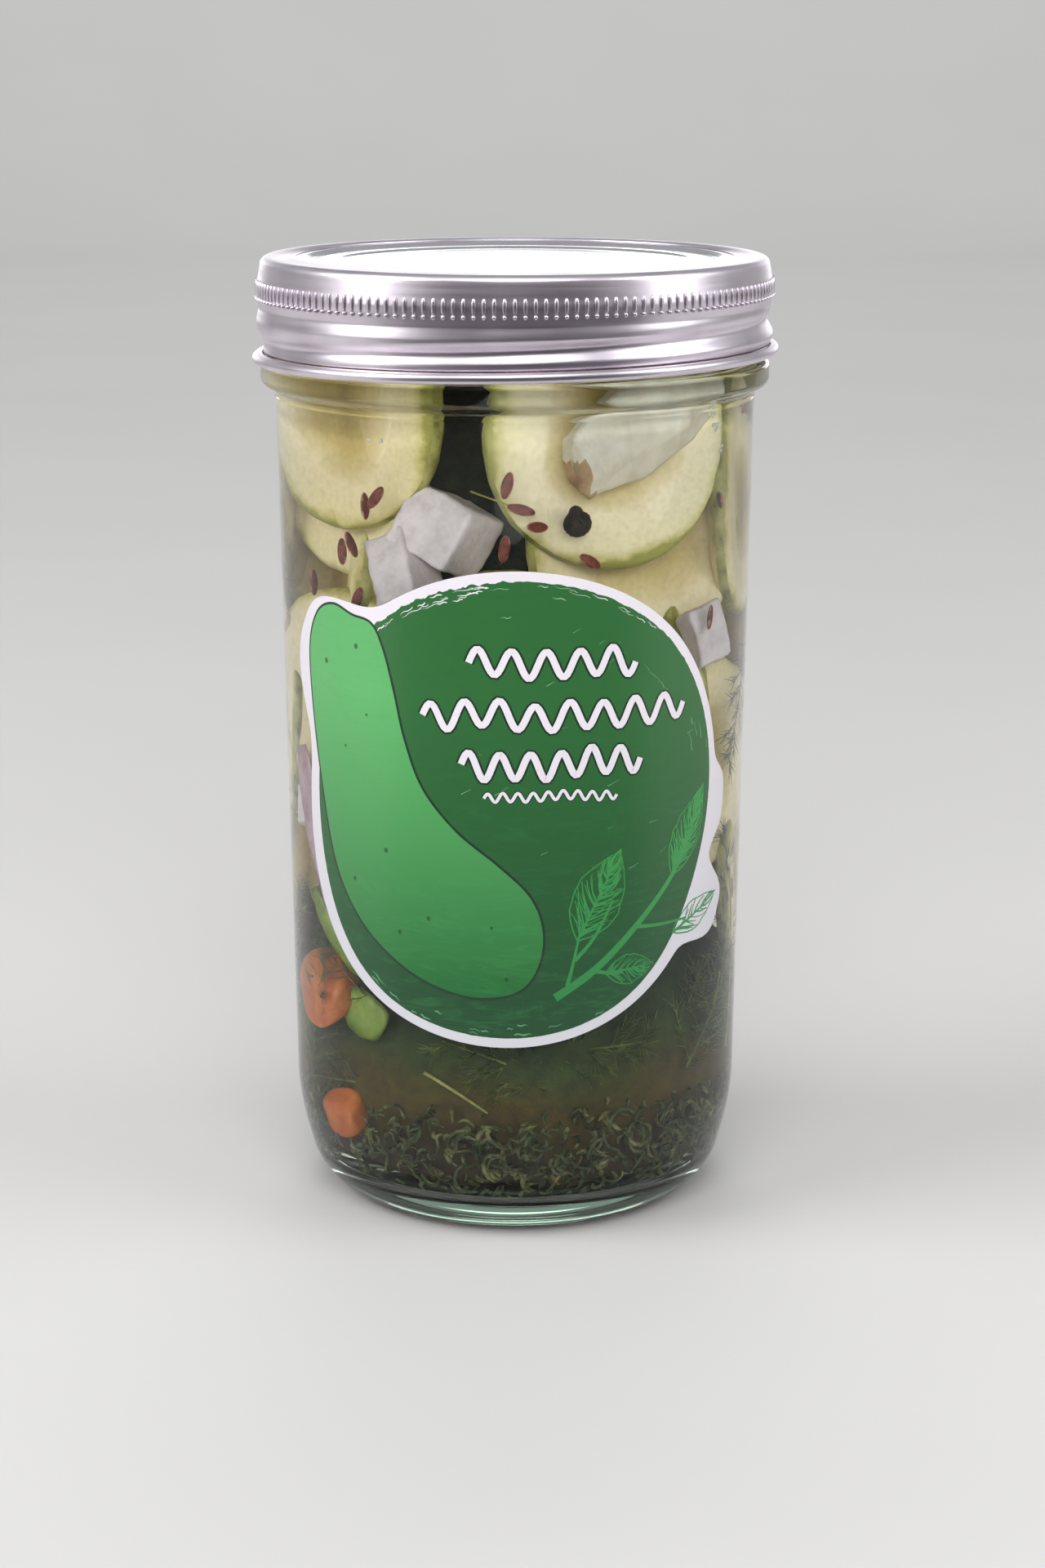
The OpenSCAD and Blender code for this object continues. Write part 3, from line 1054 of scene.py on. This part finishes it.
class MakeGarlic(bpy.types.Operator):
    """Makes the cloves of garlic"""

    bl_idname = "pickle_jar.garlic"
    bl_label = "Garlic cloves"

    # azimuth, distance from the axis, height, spin, factor
    PLACES = ((35.5, 34.2, 141.6, -67, 1.14), (-102, 34.0, 106, 60, 0.9), (152, 34.0, 112, 200, 0.9))
    # radius and height of the clove's outline, in millimetres
    OUTLINE = ((0, -12.2), (3.0, -12.6), (4.9, -11.6), (5.7, -8.0), (6.3, -3.0), (6.0, 2.0), (4.9, 7.0),
               (3.0, 11.0), (1.2, 13.6), (0, 14.2))

    def execute(self, context):
        bm = bmesh.new()
        part = bmesh.new()
        line_of_corners(part, [(x * MM, z * MM, 0) for x, z in self.OUTLINE])
        bmesh.ops.subdivide_edges(part, edges=part.edges[:], cuts=2)
        spin_round(part, 30)
        for vert in part.verts:
            angle = math.atan2(vert.co.y, vert.co.x)
            ridge = 1 + 0.1 * math.cos(5 * angle + vert.co.z * 40)
            vert.co = Vector((vert.co.x * ridge, vert.co.z, vert.co.y * 0.52 * ridge))
            vert.co.z -= (vert.co.y / MM) ** 2 * 0.008 * MM
            vert.co.x += (vert.co.y / MM) ** 2 * 0.012 * MM
        roughen(part, 0.7 * MM, 5 * MM, 4)
        for face in part.faces:
            middle = face.calc_center_median()
            face.material_index = 1 if middle.y < -11.3 * MM and middle.x > 0.5 * MM else 0
        mesh = template(part)
        for azimuth, radius, z, spin, factor in self.PLACES:
            stamp(bm, mesh, facing_out(azimuth, radius, z, spin, 0) @ Matrix.Scale(factor, 4))
        face_out(bm)
        flesh = vegetable("Garlic flesh", "#c9c2ae", "#ddd7c6", "#ece7da", 170, 0.3, 0.3, 3 * MM)
        root = vegetable("Garlic root", "#9a7a58", "#b99a76", "#d0b795", 300, 0.6, 0.1)
        sink(bm, "garlic_cloves", flesh, root)
        return {"FINISHED"}


def dill_seed(length):
    """A flat oval seed with raised ribs and a thin wing round it."""
    bm = bmesh.new()
    bmesh.ops.create_uvsphere(bm, u_segments=14, v_segments=8, radius=1)
    half_width, half_length = 0.2 * length, 0.5 * length
    for vert in bm.verts:
        across, along, up = vert.co.x, vert.co.z, vert.co.y
        ribs = 1 + 0.25 * math.cos(across * 9)
        vert.co = Vector((across * half_width, along * half_length, up * 0.11 * length * ribs))
    for face in bm.faces:
        middle = face.calc_center_median()
        rim = (middle.x / half_width) ** 2 + (middle.y / half_length) ** 2
        face.material_index = 1 if rim > 0.8 else 0
    face_out(bm)
    return template(bm)


class MakeSeeds(bpy.types.Operator):
    """Makes the dill seeds and the peppercorns"""

    bl_idname = "pickle_jar.seeds"
    bl_label = "Seeds and peppercorns"

    # azimuth, distance from the axis, height, spin, yaw
    SEEDS = (
        (-38, 35.6, 129.1, -35, 10), (-41.5, 35.6, 127.5, 3, 75), (-47, 35.2, 120.7, 25, 60),
        (-50.5, 35.2, 119.3, 0, 20), (-45, 35.3, 111.4, -20, 20), (-64, 35.0, 113.0, 0, 70),
        (-2.0, 36.2, 132.0, -14, 10), (1.5, 36.2, 128.0, 75, 0), (5.5, 36.2, 125.1, 88, 40),
        (-2.8, 35.0, 121.4, -8, 0), (19.3, 35.8, 119.1, 62, 20), (60, 35.6, 107.1, -20, 30),
        (63, 36.2, 127.2, -50, 60), (46.5, 36.4, 145.3, 80, 0),
    )
    # azimuth, distance from the axis, height
    PEPPER = ((16.3, 34.8, 125.5), (-128, 35, 70), (100, 35, 78), (172, 35, 35))

    def execute(self, context):
        self.dill_seeds()
        self.peppercorns()
        return {"FINISHED"}

    def dill_seeds(self):
        bm = bmesh.new()
        mesh = dill_seed(sizes().seed_length)
        for azimuth, radius, z, spin, yaw in self.SEEDS:
            stamp(bm, mesh, facing_out(azimuth, radius, z, spin, 0, yaw))
        draw = random.Random(11)
        for _ in range(sizes().loose_seeds):
            azimuth, z = draw.uniform(76, 270), draw.uniform(22, 148)
            stamp(bm, mesh, facing_out(azimuth, draw.uniform(34.6, 36), z, draw.uniform(0, 180), 0,
                                       draw.uniform(-60, 60)) @ Matrix.Scale(draw.uniform(0.8, 1.05), 4))
        brown = vegetable("Dill seed", "#541d12", "#7a3222", "#944a38", 900, 0.5, 0.0)
        wing = vegetable("Dill seed wing", "#9c6a52", "#b78468", "#cba28a", 900, 0.5, 0.0)
        sink(bm, "dill_seeds", brown, wing)

    def peppercorns(self):
        """Creased balls with a small tip."""
        bm = bmesh.new()
        part = bmesh.new()
        bmesh.ops.create_icosphere(part, subdivisions=4, radius=2.35 * MM)
        for vert in part.verts:
            way = vert.co.normalized()
            crease = abs(noise.noise(vert.co / (0.8 * MM))) * 0.55 * MM
            tip = max(0.0, way.y - 0.86) * 6 * MM
            vert.co += way * (tip - crease)
        mesh = template(part)
        for azimuth, radius, z in self.PEPPER:
            stamp(bm, mesh, facing_out(azimuth, radius, z, 8))
        black = vegetable("Dried peppercorn", "#120d0a", "#211914", "#33271f", 700, 0.6, 0.0)
        sink(bm, "peppercorns", black)


def tube(bm, points, widths, sides):
    """A closed tube along the points: a ring that is extruded from point to point."""
    ring = bmesh.ops.create_circle(bm, cap_ends=False, segments=sides, radius=1)["verts"]
    first = (points[1] - points[0]).to_track_quat("Z", "Y").to_matrix().to_4x4()
    bmesh.ops.transform(bm, verts=ring, matrix=Matrix.Translation(points[0]) @ first
                        @ Matrix.Scale(widths[0] / 2, 4))
    start = bm.faces.new(ring)
    edges = start.edges[:]
    way = (points[1] - points[0]).normalized()
    for i in range(1, len(points)):
        onto = bmesh.ops.extrude_edge_only(bm, edges=edges)["geom"]
        verts = [g for g in onto if isinstance(g, bmesh.types.BMVert)]
        edges = [g for g in onto if isinstance(g, bmesh.types.BMEdge)]
        last = i == len(points) - 1
        onward = (points[i] - points[i - 1] if last else points[i + 1] - points[i - 1]).normalized()
        turn = way.rotation_difference(onward).to_matrix().to_4x4()
        bmesh.ops.transform(bm, verts=verts, matrix=Matrix.Translation(points[i]) @ turn
                            @ Matrix.Scale(widths[i] / widths[i - 1], 4) @ Matrix.Translation(-points[i - 1]))
        way = onward
    bmesh.ops.edgeloop_fill(bm, edges=edges)


LOW_CARROT = -56.5  # azimuth of the carrot slice that lies on the sediment


class MakeVegetables(bpy.types.Operator):
    """Makes the carrot, onion, pepper and stalk pieces"""

    bl_idname = "pickle_jar.vegetables"
    bl_label = "Carrot, onion, pepper and stalks"

    # azimuth, distance from the axis, height, radius, lean
    CARROTS = ((-67, 33.2, 39.6, 8.0, 40), (LOW_CARROT, 33.2, 18.2, 4.8, 50), (128, 32.5, 40.0, 7.0, 20),
               (-160, 32.5, 33.0, 7.0, 50), (176, 32.5, 72.0, 6.5, 10))
    # Guide points of the strips and stalks: azimuth, distance from the axis, height
    ONIONS = (
        ((-72, 36.2, 83), (-66, 36.6, 73), (-59, 36.4, 62), (-51, 35.8, 52)),
        ((150, 36.4, 58), (162, 36.6, 46), (174, 36.2, 40), (186, 35.8, 44)),
        ((-140, 36.2, 110), (-128, 36.7, 104), (-116, 36.4, 106), (-108, 36, 112)),
    )
    ONION_WIDTHS = (8, 8, 8)
    PEPPERS = (
        ((-128, 36.4, 64), (-120, 36.8, 54), (-110, 36.6, 47), (-100, 36, 42)),
        ((-56, 31.5, 38.0), (-51, 32.5, 37.6), (-47, 32.5, 36.8), (-42, 31.5, 35.6)),
        ((84, 36.4, 66), (92, 36.6, 58), (100, 36.4, 50), (106, 36, 44)),
        ((-170, 36.2, 84), (-178, 36.6, 88), (-186, 36.4, 90), (-194, 36, 86)),
        ((-66, 35.6, 58), (-60, 36.2, 53), (-52, 36.2, 48.5), (-42, 35.4, 45)),
    )
    PEPPER_WIDTHS = (4.6, 9.5, 4.6, 4.6, 4.6)
    STALKS = (
        ((-12, 33, 131), (-7, 34.5, 130), (-1, 35.3, 128.6)),
        ((-28, 31, 28.5), (-19, 32, 26.5), (-8, 32.5, 22.5)),
        ((-14, 32, 112.6), (-9, 33.6, 113.6), (-5, 34, 112)),
        ((200, 35, 40), (212, 35.6, 60), (218, 35, 84)),
        ((76, 35.6, 60), (82, 36, 44), (80, 34, 26)),
    )
    STALK_WIDTHS = (0.35, 0.75, 0.35, 0.75, 0.75)

    def execute(self, context):
        self.carrots()
        onion = vegetable("Pickled red onion", "#8d6a80", "#b596a6", "#cdb9c2", 160, 0.3, 0.5, 3 * MM)
        self.strips("onion_strips", onion, self.ONIONS, self.ONION_WIDTHS, 1.5)
        green = vegetable("Pickled green pepper", "#56722a", "#768f38", "#98a650", 160, 0.3, 0.3, 3 * MM)
        self.strips("pepper_strips", green, self.PEPPERS, self.PEPPER_WIDTHS, 2.2)
        self.stalks()
        return {"FINISHED"}

    def carrots(self):
        bm = bmesh.new()
        for number, (azimuth, radius, z, size, lean) in enumerate(self.CARROTS):
            part = bmesh.new()
            bmesh.ops.create_cone(part, cap_ends=True, cap_tris=False, segments=36, radius1=size * MM,
                                  radius2=size * 0.95 * MM, depth=5.0 * MM)
            level = [e for e in part.edges if abs(e.verts[0].co.z - e.verts[1].co.z) < 1e-6]
            bmesh.ops.bevel(part, geom=level, offset=1.2 * MM, offset_type="OFFSET", segments=4,
                            profile=0.5, affect="EDGES", material=-1)
            roughen(part, 0.5 * MM, 6 * MM, number)
            stamp(bm, template(part), facing_out(azimuth, radius, z, 0, lean))
        sink(bm, "carrot_slices", vegetable("Pickled carrot", "#a04c12", "#bd6220", "#cd8040", 160, 0.4, 0.0))

    def stalks(self):
        bm = bmesh.new()
        for stalk, width in zip(self.STALKS, self.STALK_WIDTHS):
            foot, bend, tip = (spot(*p) for p in stalk)
            fine = [foot.lerp(bend, t).lerp(bend.lerp(tip, t), t) for t in fractions(8)]
            tube(bm, fine, [width * MM * (1 - 0.05 * k) for k in range(9)], 6)
        face_out(bm)
        sink(bm, "dill_stalks", vegetable("Dill stalk", "#74763a", "#99984f", "#bdb878", 300, 0.4, 0.3))

    def strips(self, name, material, rows, widths, thickness):
        bm = bmesh.new()
        for row, width in zip(rows, widths):
            self.band_strip(bm, [spot(*p) for p in row], width * MM, thickness * MM)
        sink(bm, name, material)

    def band_strip(self, bm, points, width, thickness):
        """A strip that lies along the wall: a flat tube on a curve that four guide points shape."""
        part = bmesh.new()
        fine = []
        for t in fractions(16):
            level = list(points)
            while len(level) > 1:
                level = [a.lerp(b, t) for a, b in zip(level, level[1:])]
            fine.append(level[0])
        swell = [0.35 + 0.65 * math.sin(math.pi * (k + 1) / 18) ** 0.5 for k in range(17)]
        tube(part, fine, [width * s for s in swell], 12)
        for vert in part.verts:
            near = min(fine, key=lambda p: (p - vert.co).length_squared)
            out = Vector((near.x, near.y, 0)).normalized()
            reach = (vert.co - near).dot(out)
            vert.co += out * (reach * (thickness / width) - reach)
        roughen(part, 0.35 * MM, 4 * MM, width * 900)
        face_out(part)
        stamp(bm, template(part), Matrix.Identity(4))


def curl_bit(draw):
    """One curled bit of dill: a short bent tube."""
    bm = bmesh.new()
    length, bend = draw.uniform(3.5, 8.5) * MM, draw.uniform(-2.8, 2.8)
    points = []
    for t in fractions(6):
        angle = bend * t
        points.append(Vector((math.sin(angle) * length * 0.5,
                              math.cos(angle) * length * 0.5 + length * 0.3 * t,
                              math.sin(3 * t) * length * 0.15)))
    thick = draw.uniform(0.5, 1.0) * MM
    tube(bm, points, [thick * (1 - 0.7 * abs(2 * k / 6 - 1) ** 2) + 0.05 * MM for k in range(7)], 5)
    face_out(bm)
    return template(bm)


class MakeSediment(bpy.types.Operator):
    """Makes the bed of curled dill bits on the floor of the jar and the soaked mass above it"""

    bl_idname = "pickle_jar.sediment"
    bl_label = "Sediment"

    BED_LOW, BED_TOP = 7.4, 20.0  # heights that the bed lies between, in millimetres
    # radius, height and rounding of the soaked mass, in millimetres
    MASS = ((0, 7.5, 0), (29, 7.5, 6), (31.5, 20, 6), (30.5, 34, 10), (24, 52, 12), (8, 60, 8), (0, 60, 0))

    def execute(self, context):
        self.bed()
        bm = bmesh.new()
        line_of_corners(bm, [(x * MM, z * MM, rounding * MM) for x, z, rounding in self.MASS])
        bmesh.ops.subdivide_edges(bm, edges=[e for e in bm.edges if e.calc_length() > 3 * MM], cuts=5)
        spin_round(bm, 72)
        roughen(bm, 1.8 * MM, 9 * MM, 3)
        sink(bm, "soaked_dill_mass", self.soaked_mass())
        return {"FINISHED"}

    def bed(self):
        draw = random.Random(23)
        bm = bmesh.new()
        kinds = [curl_bit(draw) for _ in range(14)]
        for _ in range(sizes().sediment_bits):
            azimuth = draw.uniform(0, 360)
            a = math.radians(azimuth)
            bed = self.BED_TOP + 1.6 * noise.noise((math.sin(a) * 2.5, math.cos(a) * 2.5, 0))
            z = self.BED_LOW + (bed - self.BED_LOW) * draw.random() ** 0.8
            radius = room(z) - 1.0 - 3.6 * draw.random() ** 1.6
            turn = (Matrix.Rotation(draw.uniform(0, 6.3), 4, "Z")
                    @ Matrix.Rotation(draw.uniform(-1.3, 1.3), 4, "X"))
            kind, roll = draw.choice(kinds), draw.uniform(0, 6.3)
            if abs(azimuth - LOW_CARROT - 360) < 9 and z > 13.5:
                continue  # nothing lies in front of the low carrot slice
            place = Matrix.Translation(spot(azimuth, radius, z))
            stamp(bm, kind, place @ turn @ Matrix.Rotation(roll, 4, "Y"))
        # The palest of the three tones is partly the dill's own paler bits and partly painted highlight,
        # standing for the glints on the curls.
        sink(bm, "dill_sediment",
             vegetable("Soaked dill bits with painted highlights", "#1a260c", "#3a461e", "#8a8455", 300, 0.5, 0.0))

    def soaked_mass(self):
        """Fine soaked herb: soft clouds of brown low down and bottle green higher up."""
        material, tree, shader, place, _ = start_material("Soaked fine dill", {"Roughness": 0.8})
        axis = add_node(tree, "ShaderNodeSeparateXYZ", i0=place)
        height = span(tree, axis.outputs[2], 14 * MM, 44 * MM)
        drift = span(tree, speckle(tree, place, 45, 3.0), 0.0, 1.0, -0.35, 0.35)
        wander = calculate(tree, "ADD", height, drift)
        base = ramp(tree, wander, (0.0, "#352b05"), (0.3, "#4c3e07"), (0.55, "#2e3f08"), (0.8, "#112d06"))
        fine = speckle(tree, place, 420, 4.0, 0.6)
        tree.links.new(mix(tree, span(tree, fine, 0.35, 0.7, 0.0, 0.6), base, colour("#6c6c3c"), "MULTIPLY"),
                       shader.inputs["Base Color"])
        bump(tree, shader, fine, 0.6 * MM, 0.5)
        return material


def dill_frond(draw):
    """A feathery frond, 30 mm long: a stem with side stems that carry fine needles."""
    bm = bmesh.new()
    length = 30 * MM
    stem = [Vector((math.sin(t * 1.4) * 3 * MM, t * length, math.sin(t * 3) * 1.5 * MM))
            for t in fractions(8)]
    tube(bm, stem, [0.9 * MM * (1 - 0.08 * k) for k in range(9)], 5)
    needle = bmesh.new()
    bmesh.ops.create_cone(needle, cap_ends=True, segments=3, radius1=0.16 * MM, radius2=0.05 * MM,
                          depth=5 * MM)
    bmesh.ops.translate(needle, vec=(0, 0, 2.5 * MM), verts=needle.verts[:])
    mesh = template(needle)
    for k in range(1, 9):
        for side in (-1, 1):
            root = stem[k - 1].lerp(stem[k], draw.random())
            aim = Vector((side * 1.0, draw.uniform(0.7, 1.1), draw.uniform(-0.6, 0.6))).normalized()
            reach = (11 - k) * 1.25 * MM
            tube(bm, [root, root + aim * reach * 0.5, root + aim * reach], [0.4 * MM, 0.3 * MM, 0.15 * MM], 4)
            for step in range(9):
                at = root + aim * reach * (0.15 + 0.85 * step / 8)
                for _ in range(2):
                    spread = Vector((draw.uniform(-1, 1), draw.uniform(-1, 1), draw.uniform(-1, 1))) * 0.8
                    way = (aim + spread).normalized().to_track_quat("Z", "Y").to_matrix().to_4x4()
                    stamp(bm, mesh, Matrix.Translation(at) @ way @ Matrix.Scale(draw.uniform(0.5, 1.0), 4))
    face_out(bm)
    return template(bm)


class MakeDill(bpy.types.Operator):
    """Makes the bunch of dill in the middle and the fronds that show at the glass"""

    bl_idname = "pickle_jar.dill"
    bl_label = "Dill"

    # azimuth, distance from the axis, height of the root, spin, lean, yaw, factor
    FRONDS = (
        (70, 33, 34, -12, 0, 20, 0.85), (58, 32, 26, -30, 6, 0, 0.9), (80, 32, 46, 20, 0, 30, 0.7),
        (-46, 33.5, 41, 60, 0, 0, 0.45), (-30, 26, 24, 100, 10, 0, 0.8), (24, 27, 24, 70, 8, 0, 0.9),
        (-6, 25, 32, -80, 10, 0, 0.8), (184, 33, 118, 10, 8, 0, 0.9), (-166, 33, 136, 170, 0, 0, 0.8),
        (120, 33, 60, 0, 0, 0, 1.0), (150, 34, 24, 30, 0, 0, 0.9), (-170, 34, 60, -25, 0, 0, 0.9),
        (-150, 33, 24, 20, 0, 0, 0.9), (-120, 33, 70, 10, 0, 0, 0.8), (-100, 33, 30, -20, 0, 0, 0.9),
        (95, 33, 100, 150, 0, 0, 0.8), (-136, 34, 146, 190, 0, 0, 0.7), (115, 34, 148, 170, 0, 0, 0.7),
        (40, 25, 30, -60, 0, 0, 0.9), (-75, 33, 22, -10, 0, 0, 0.8),
    )

    BUNCH_MID, BUNCH_HALF, BUNCH_R = 81, 67, 17.5  # middle height, half height and radius, in millimetres

    def execute(self, context):
        draw = random.Random(31)
        bm = bmesh.new()
        kinds = [dill_frond(draw) for _ in range(3)]
        for number, (azimuth, radius, z, spin, lean, yaw, factor) in enumerate(self.FRONDS):
            stamp(bm, kinds[number % 3],
                  facing_out(azimuth, radius, z, spin, lean, yaw) @ Matrix.Scale(factor, 4))
        sink(bm, "dill_fronds", vegetable("Pickled dill", "#2f3f16", "#4f6022", "#7c8a40", 300, 0.5, 0.0))
        self.bunch()
        return {"FINISHED"}

    def bunch(self):
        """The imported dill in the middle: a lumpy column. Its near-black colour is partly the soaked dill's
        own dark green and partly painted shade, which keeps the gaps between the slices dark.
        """
        bm = bmesh.new()
        bmesh.ops.create_uvsphere(bm, u_segments=64, v_segments=64, radius=1)
        for vert in bm.verts:
            full = max(0.0, 1 - abs(vert.co.z) ** 6) ** 0.5
            flat = math.hypot(vert.co.x, vert.co.y) or 1.0
            z = self.BUNCH_MID + vert.co.z * self.BUNCH_HALF
            radius = self.BUNCH_R * full
            vert.co = Vector((vert.co.x / flat * radius, vert.co.y / flat * radius, z)) * MM
        roughen(bm, 3 * MM, 9 * MM, 6)
        roughen(bm, 1.2 * MM, 2.5 * MM, 8)
        # Near black: the dill's own dark green, darkened further as painted shade.
        dark = vegetable("Packed dill in painted shade", "#12180c", "#1d2613", "#2e3a1c", 380, 0.8, 0.0, relief=1.0)
        make_piece(bm, "dill_bunch", [dark])


class MakeBubbles(bpy.types.Operator):
    """Makes the few small bubbles that cling to the glass, coloured pale and opaque as a painted reflection
    """

    bl_idname = "pickle_jar.bubbles"
    bl_label = "Bubbles"

    # azimuth, height, number and spread of each cluster
    CLUSTERS = ((56, 142.0, 7, 0.7), (58, 140.0, 5, 0.9), (60.5, 135.6, 4, 0.6), (-36, 139, 2, 1),
                (150, 142, 8, 2))
    GLASS_R = 37.9  # where the bubbles cling, in millimetres

    def execute(self, context):
        draw = random.Random(3)
        bm = bmesh.new()
        part = bmesh.new()
        bmesh.ops.create_icosphere(part, subdivisions=2, radius=1)
        mesh = template(part)
        for azimuth, z, count, spread in self.CLUSTERS:
            for _ in range(count):
                place = spot(azimuth + draw.gauss(0, spread), self.GLASS_R, z + draw.gauss(0, spread * 0.45))
                stamp(bm, mesh, Matrix.Translation(place) @ Matrix.Scale(draw.uniform(0.15, 0.42) * MM, 4))
        # Air has no colour: the pale tones are painted reflection, standing for the light that a bubble
        # mirrors.
        froth = vegetable("Small bubbles painted as glints", "#c9cbc4", "#e3e4df", "#f5f5f2", 900, 0.1, 0.0)
        make_piece(bm, "bubbles", [froth])
        return {"FINISHED"}


# ---------------------------------------------------------------- stage


class MakeStage(bpy.types.Operator):
    """Makes the floor, the lights and the camera"""

    bl_idname = "pickle_jar.stage"
    bl_label = "Floor, lights and camera"

    CAMERA_PLACE = (-0.0003, -0.579, 0.210)
    CAMERA_DIP, CAMERA_PAN = 13.37, -0.16  # degrees down and to the side
    CAMERA_LENS = 76.6
    JAR_MIDDLE = (0, 0, 0.08)

    def execute(self, context):
        self.floor()
        self.card()
        self.light("Front", (0.0, -1.5, 0.9), 1.4, 18.5, glossy=False)
        self.light("Left", (-1.3, -0.45, 1.0), 1.2, 20)
        self.light("Right", (1.35, -0.4, 0.9), 1.2, 12.5)
        self.light("Top", (0.0, -0.85, 1.2), 1.1, 7)
        self.light("Back", (0.0, 1.7, 0.3), 0.5, 5, width=1.8, diffuse=False)
        self.light("Backdrop", (0.0, 2.0, 2.4), 1.6, 36, glossy=False, aim=(0, 2.6, 0))
        self.world_and_light_paths(context.scene)
        self.camera(context.scene)
        return {"FINISHED"}

    def world_and_light_paths(self, scene):
        world = bpy.data.worlds.new("Studio")
        scene.world = world
        world.use_nodes = True
        inputs = world.node_tree.nodes["Background"].inputs
        inputs["Color"].default_value = colour("#eef1f4")
        inputs["Strength"].default_value = 0.42
        scene.view_settings.view_transform = "Standard"
        # Light crosses three surfaces each time it passes the wall, so it gets room for several passes.
        scene.cycles.max_bounces = 28
        scene.cycles.transmission_bounces = 24
        # Unblurred, so that light finds its way back out through the glass.
        scene.cycles.blur_glossy = 0.0

    def camera(self, scene):
        data = bpy.data.cameras.new("Camera")
        data.lens = self.CAMERA_LENS
        data.sensor_width = 36
        data.clip_start = 0.01
        camera = add_object("Camera", data)
        camera.location = self.CAMERA_PLACE
        camera.rotation_euler = (math.radians(90 - self.CAMERA_DIP), 0, math.radians(self.CAMERA_PAN))
        scene.camera = camera

    def floor(self):
        """A round pale floor that curves up into a wall all round."""
        bm = bmesh.new()
        line_of_corners(bm, [(0, -0.0002, 0), (2.6, -0.0002, 0.8), (3.4, 1.1, 0)])
        spin_round(bm, 96)
        bmesh.ops.reverse_faces(bm, faces=[f for f in bm.faces if f.normal.z < 0])
        paint = matt("Matt studio paint", "#b5b4b3", "#bab9b8", 6, 0.0)
        floor = mesh_object(bm, "floor", [paint], True)

    def card(self):
        """A dark felt screen round the camera's side that only mirrored rays see."""
        bm = bmesh.new()
        join_up(bm, [bm.verts.new((0, -y, z)) for y, z in ((0.2, 0.002), (1.45, 0.002), (1.45, 1.25))])
        bmesh.ops.rotate(bm, verts=bm.verts[:], cent=(0, 0, 0),
                         matrix=Matrix.Rotation(math.radians(-58), 3, "Z"))
        bmesh.ops.spin(bm, geom=bm.verts[:] + bm.edges[:], cent=(0, 0, 0), axis=(0, 0, 1), dvec=(0, 0, 0),
                       angle=math.radians(120), steps=24, use_duplicate=False)
        felt = matt("Dark felt", "#302b33", "#3b363e", 30, 0.5)
        card = mesh_object(bm, "card", [felt], False)
        card.visible_camera = False
        card.visible_diffuse = False
        card.visible_transmission = False
        card.visible_shadow = False

    def light(self, name, place, size, power, width=None, glossy=True, diffuse=True, aim=JAR_MIDDLE):
        """A soft lamp: round, or a rectangle if it has a width. It may be hidden from mirrored rays
        with glossy and from matt surfaces with diffuse."""
        data = bpy.data.lights.new(name, "AREA")
        data.shape = "RECTANGLE" if width else "DISK"
        data.size = width or size
        data.size_y = size
        data.energy = power
        lamp = add_object(name, data)
        lamp.location = place
        way = Vector(aim) - Vector(place)
        lamp.rotation_euler = way.to_track_quat("-Z", "Y").to_euler()
        lamp.visible_camera = False
        lamp.visible_glossy = glossy
        lamp.visible_diffuse = diffuse


# ---------------------------------------------------------------- panel and registration


STEPS = (
    MakeGlass, MakeBrine, MakeLid, MakeBand, MakeSticker, MakeSlices, MakeChunks, MakeGarlic, MakeSeeds,
    MakeVegetables, MakeSediment, MakeDill, MakeBubbles, MakeStage,
)


class PickleJarPanel(bpy.types.Panel):
    """Lists the jar's steps and settings"""

    bl_idname = "VIEW3D_PT_pickle_jar"
    bl_label = "Pickle Jar"
    bl_space_type = "VIEW_3D"
    bl_region_type = "UI"
    bl_category = "Pickle Jar"

    def draw(self, context):
        for group in (context.scene.jar_sizes, context.scene.jar_colours):
            for name in group.__annotations__:
                self.layout.prop(group, name)
        for step in STEPS:
            self.layout.operator(step.bl_idname)


CLASSES = (JarSizes, JarColours, *STEPS, PickleJarPanel)


def register():
    for item in CLASSES:
        bpy.utils.register_class(item)
    bpy.types.Scene.jar_sizes = bpy.props.PointerProperty(type=JarSizes)
    bpy.types.Scene.jar_colours = bpy.props.PointerProperty(type=JarColours)


def unregister():
    del bpy.types.Scene.jar_colours
    del bpy.types.Scene.jar_sizes
    for item in reversed(CLASSES):
        bpy.utils.unregister_class(item)


def main():
    register()
    bpy.ops.pickle_jar.glass()
    bpy.ops.pickle_jar.brine()
    bpy.ops.pickle_jar.lid()
    bpy.ops.pickle_jar.band()
    bpy.ops.pickle_jar.sticker()
    bpy.ops.pickle_jar.slices()
    bpy.ops.pickle_jar.chunks()
    bpy.ops.pickle_jar.garlic()
    bpy.ops.pickle_jar.seeds()
    bpy.ops.pickle_jar.vegetables()
    bpy.ops.pickle_jar.sediment()
    bpy.ops.pickle_jar.dill()
    bpy.ops.pickle_jar.bubbles()
    bpy.ops.pickle_jar.stage()


if __name__ == "__main__":
    main()
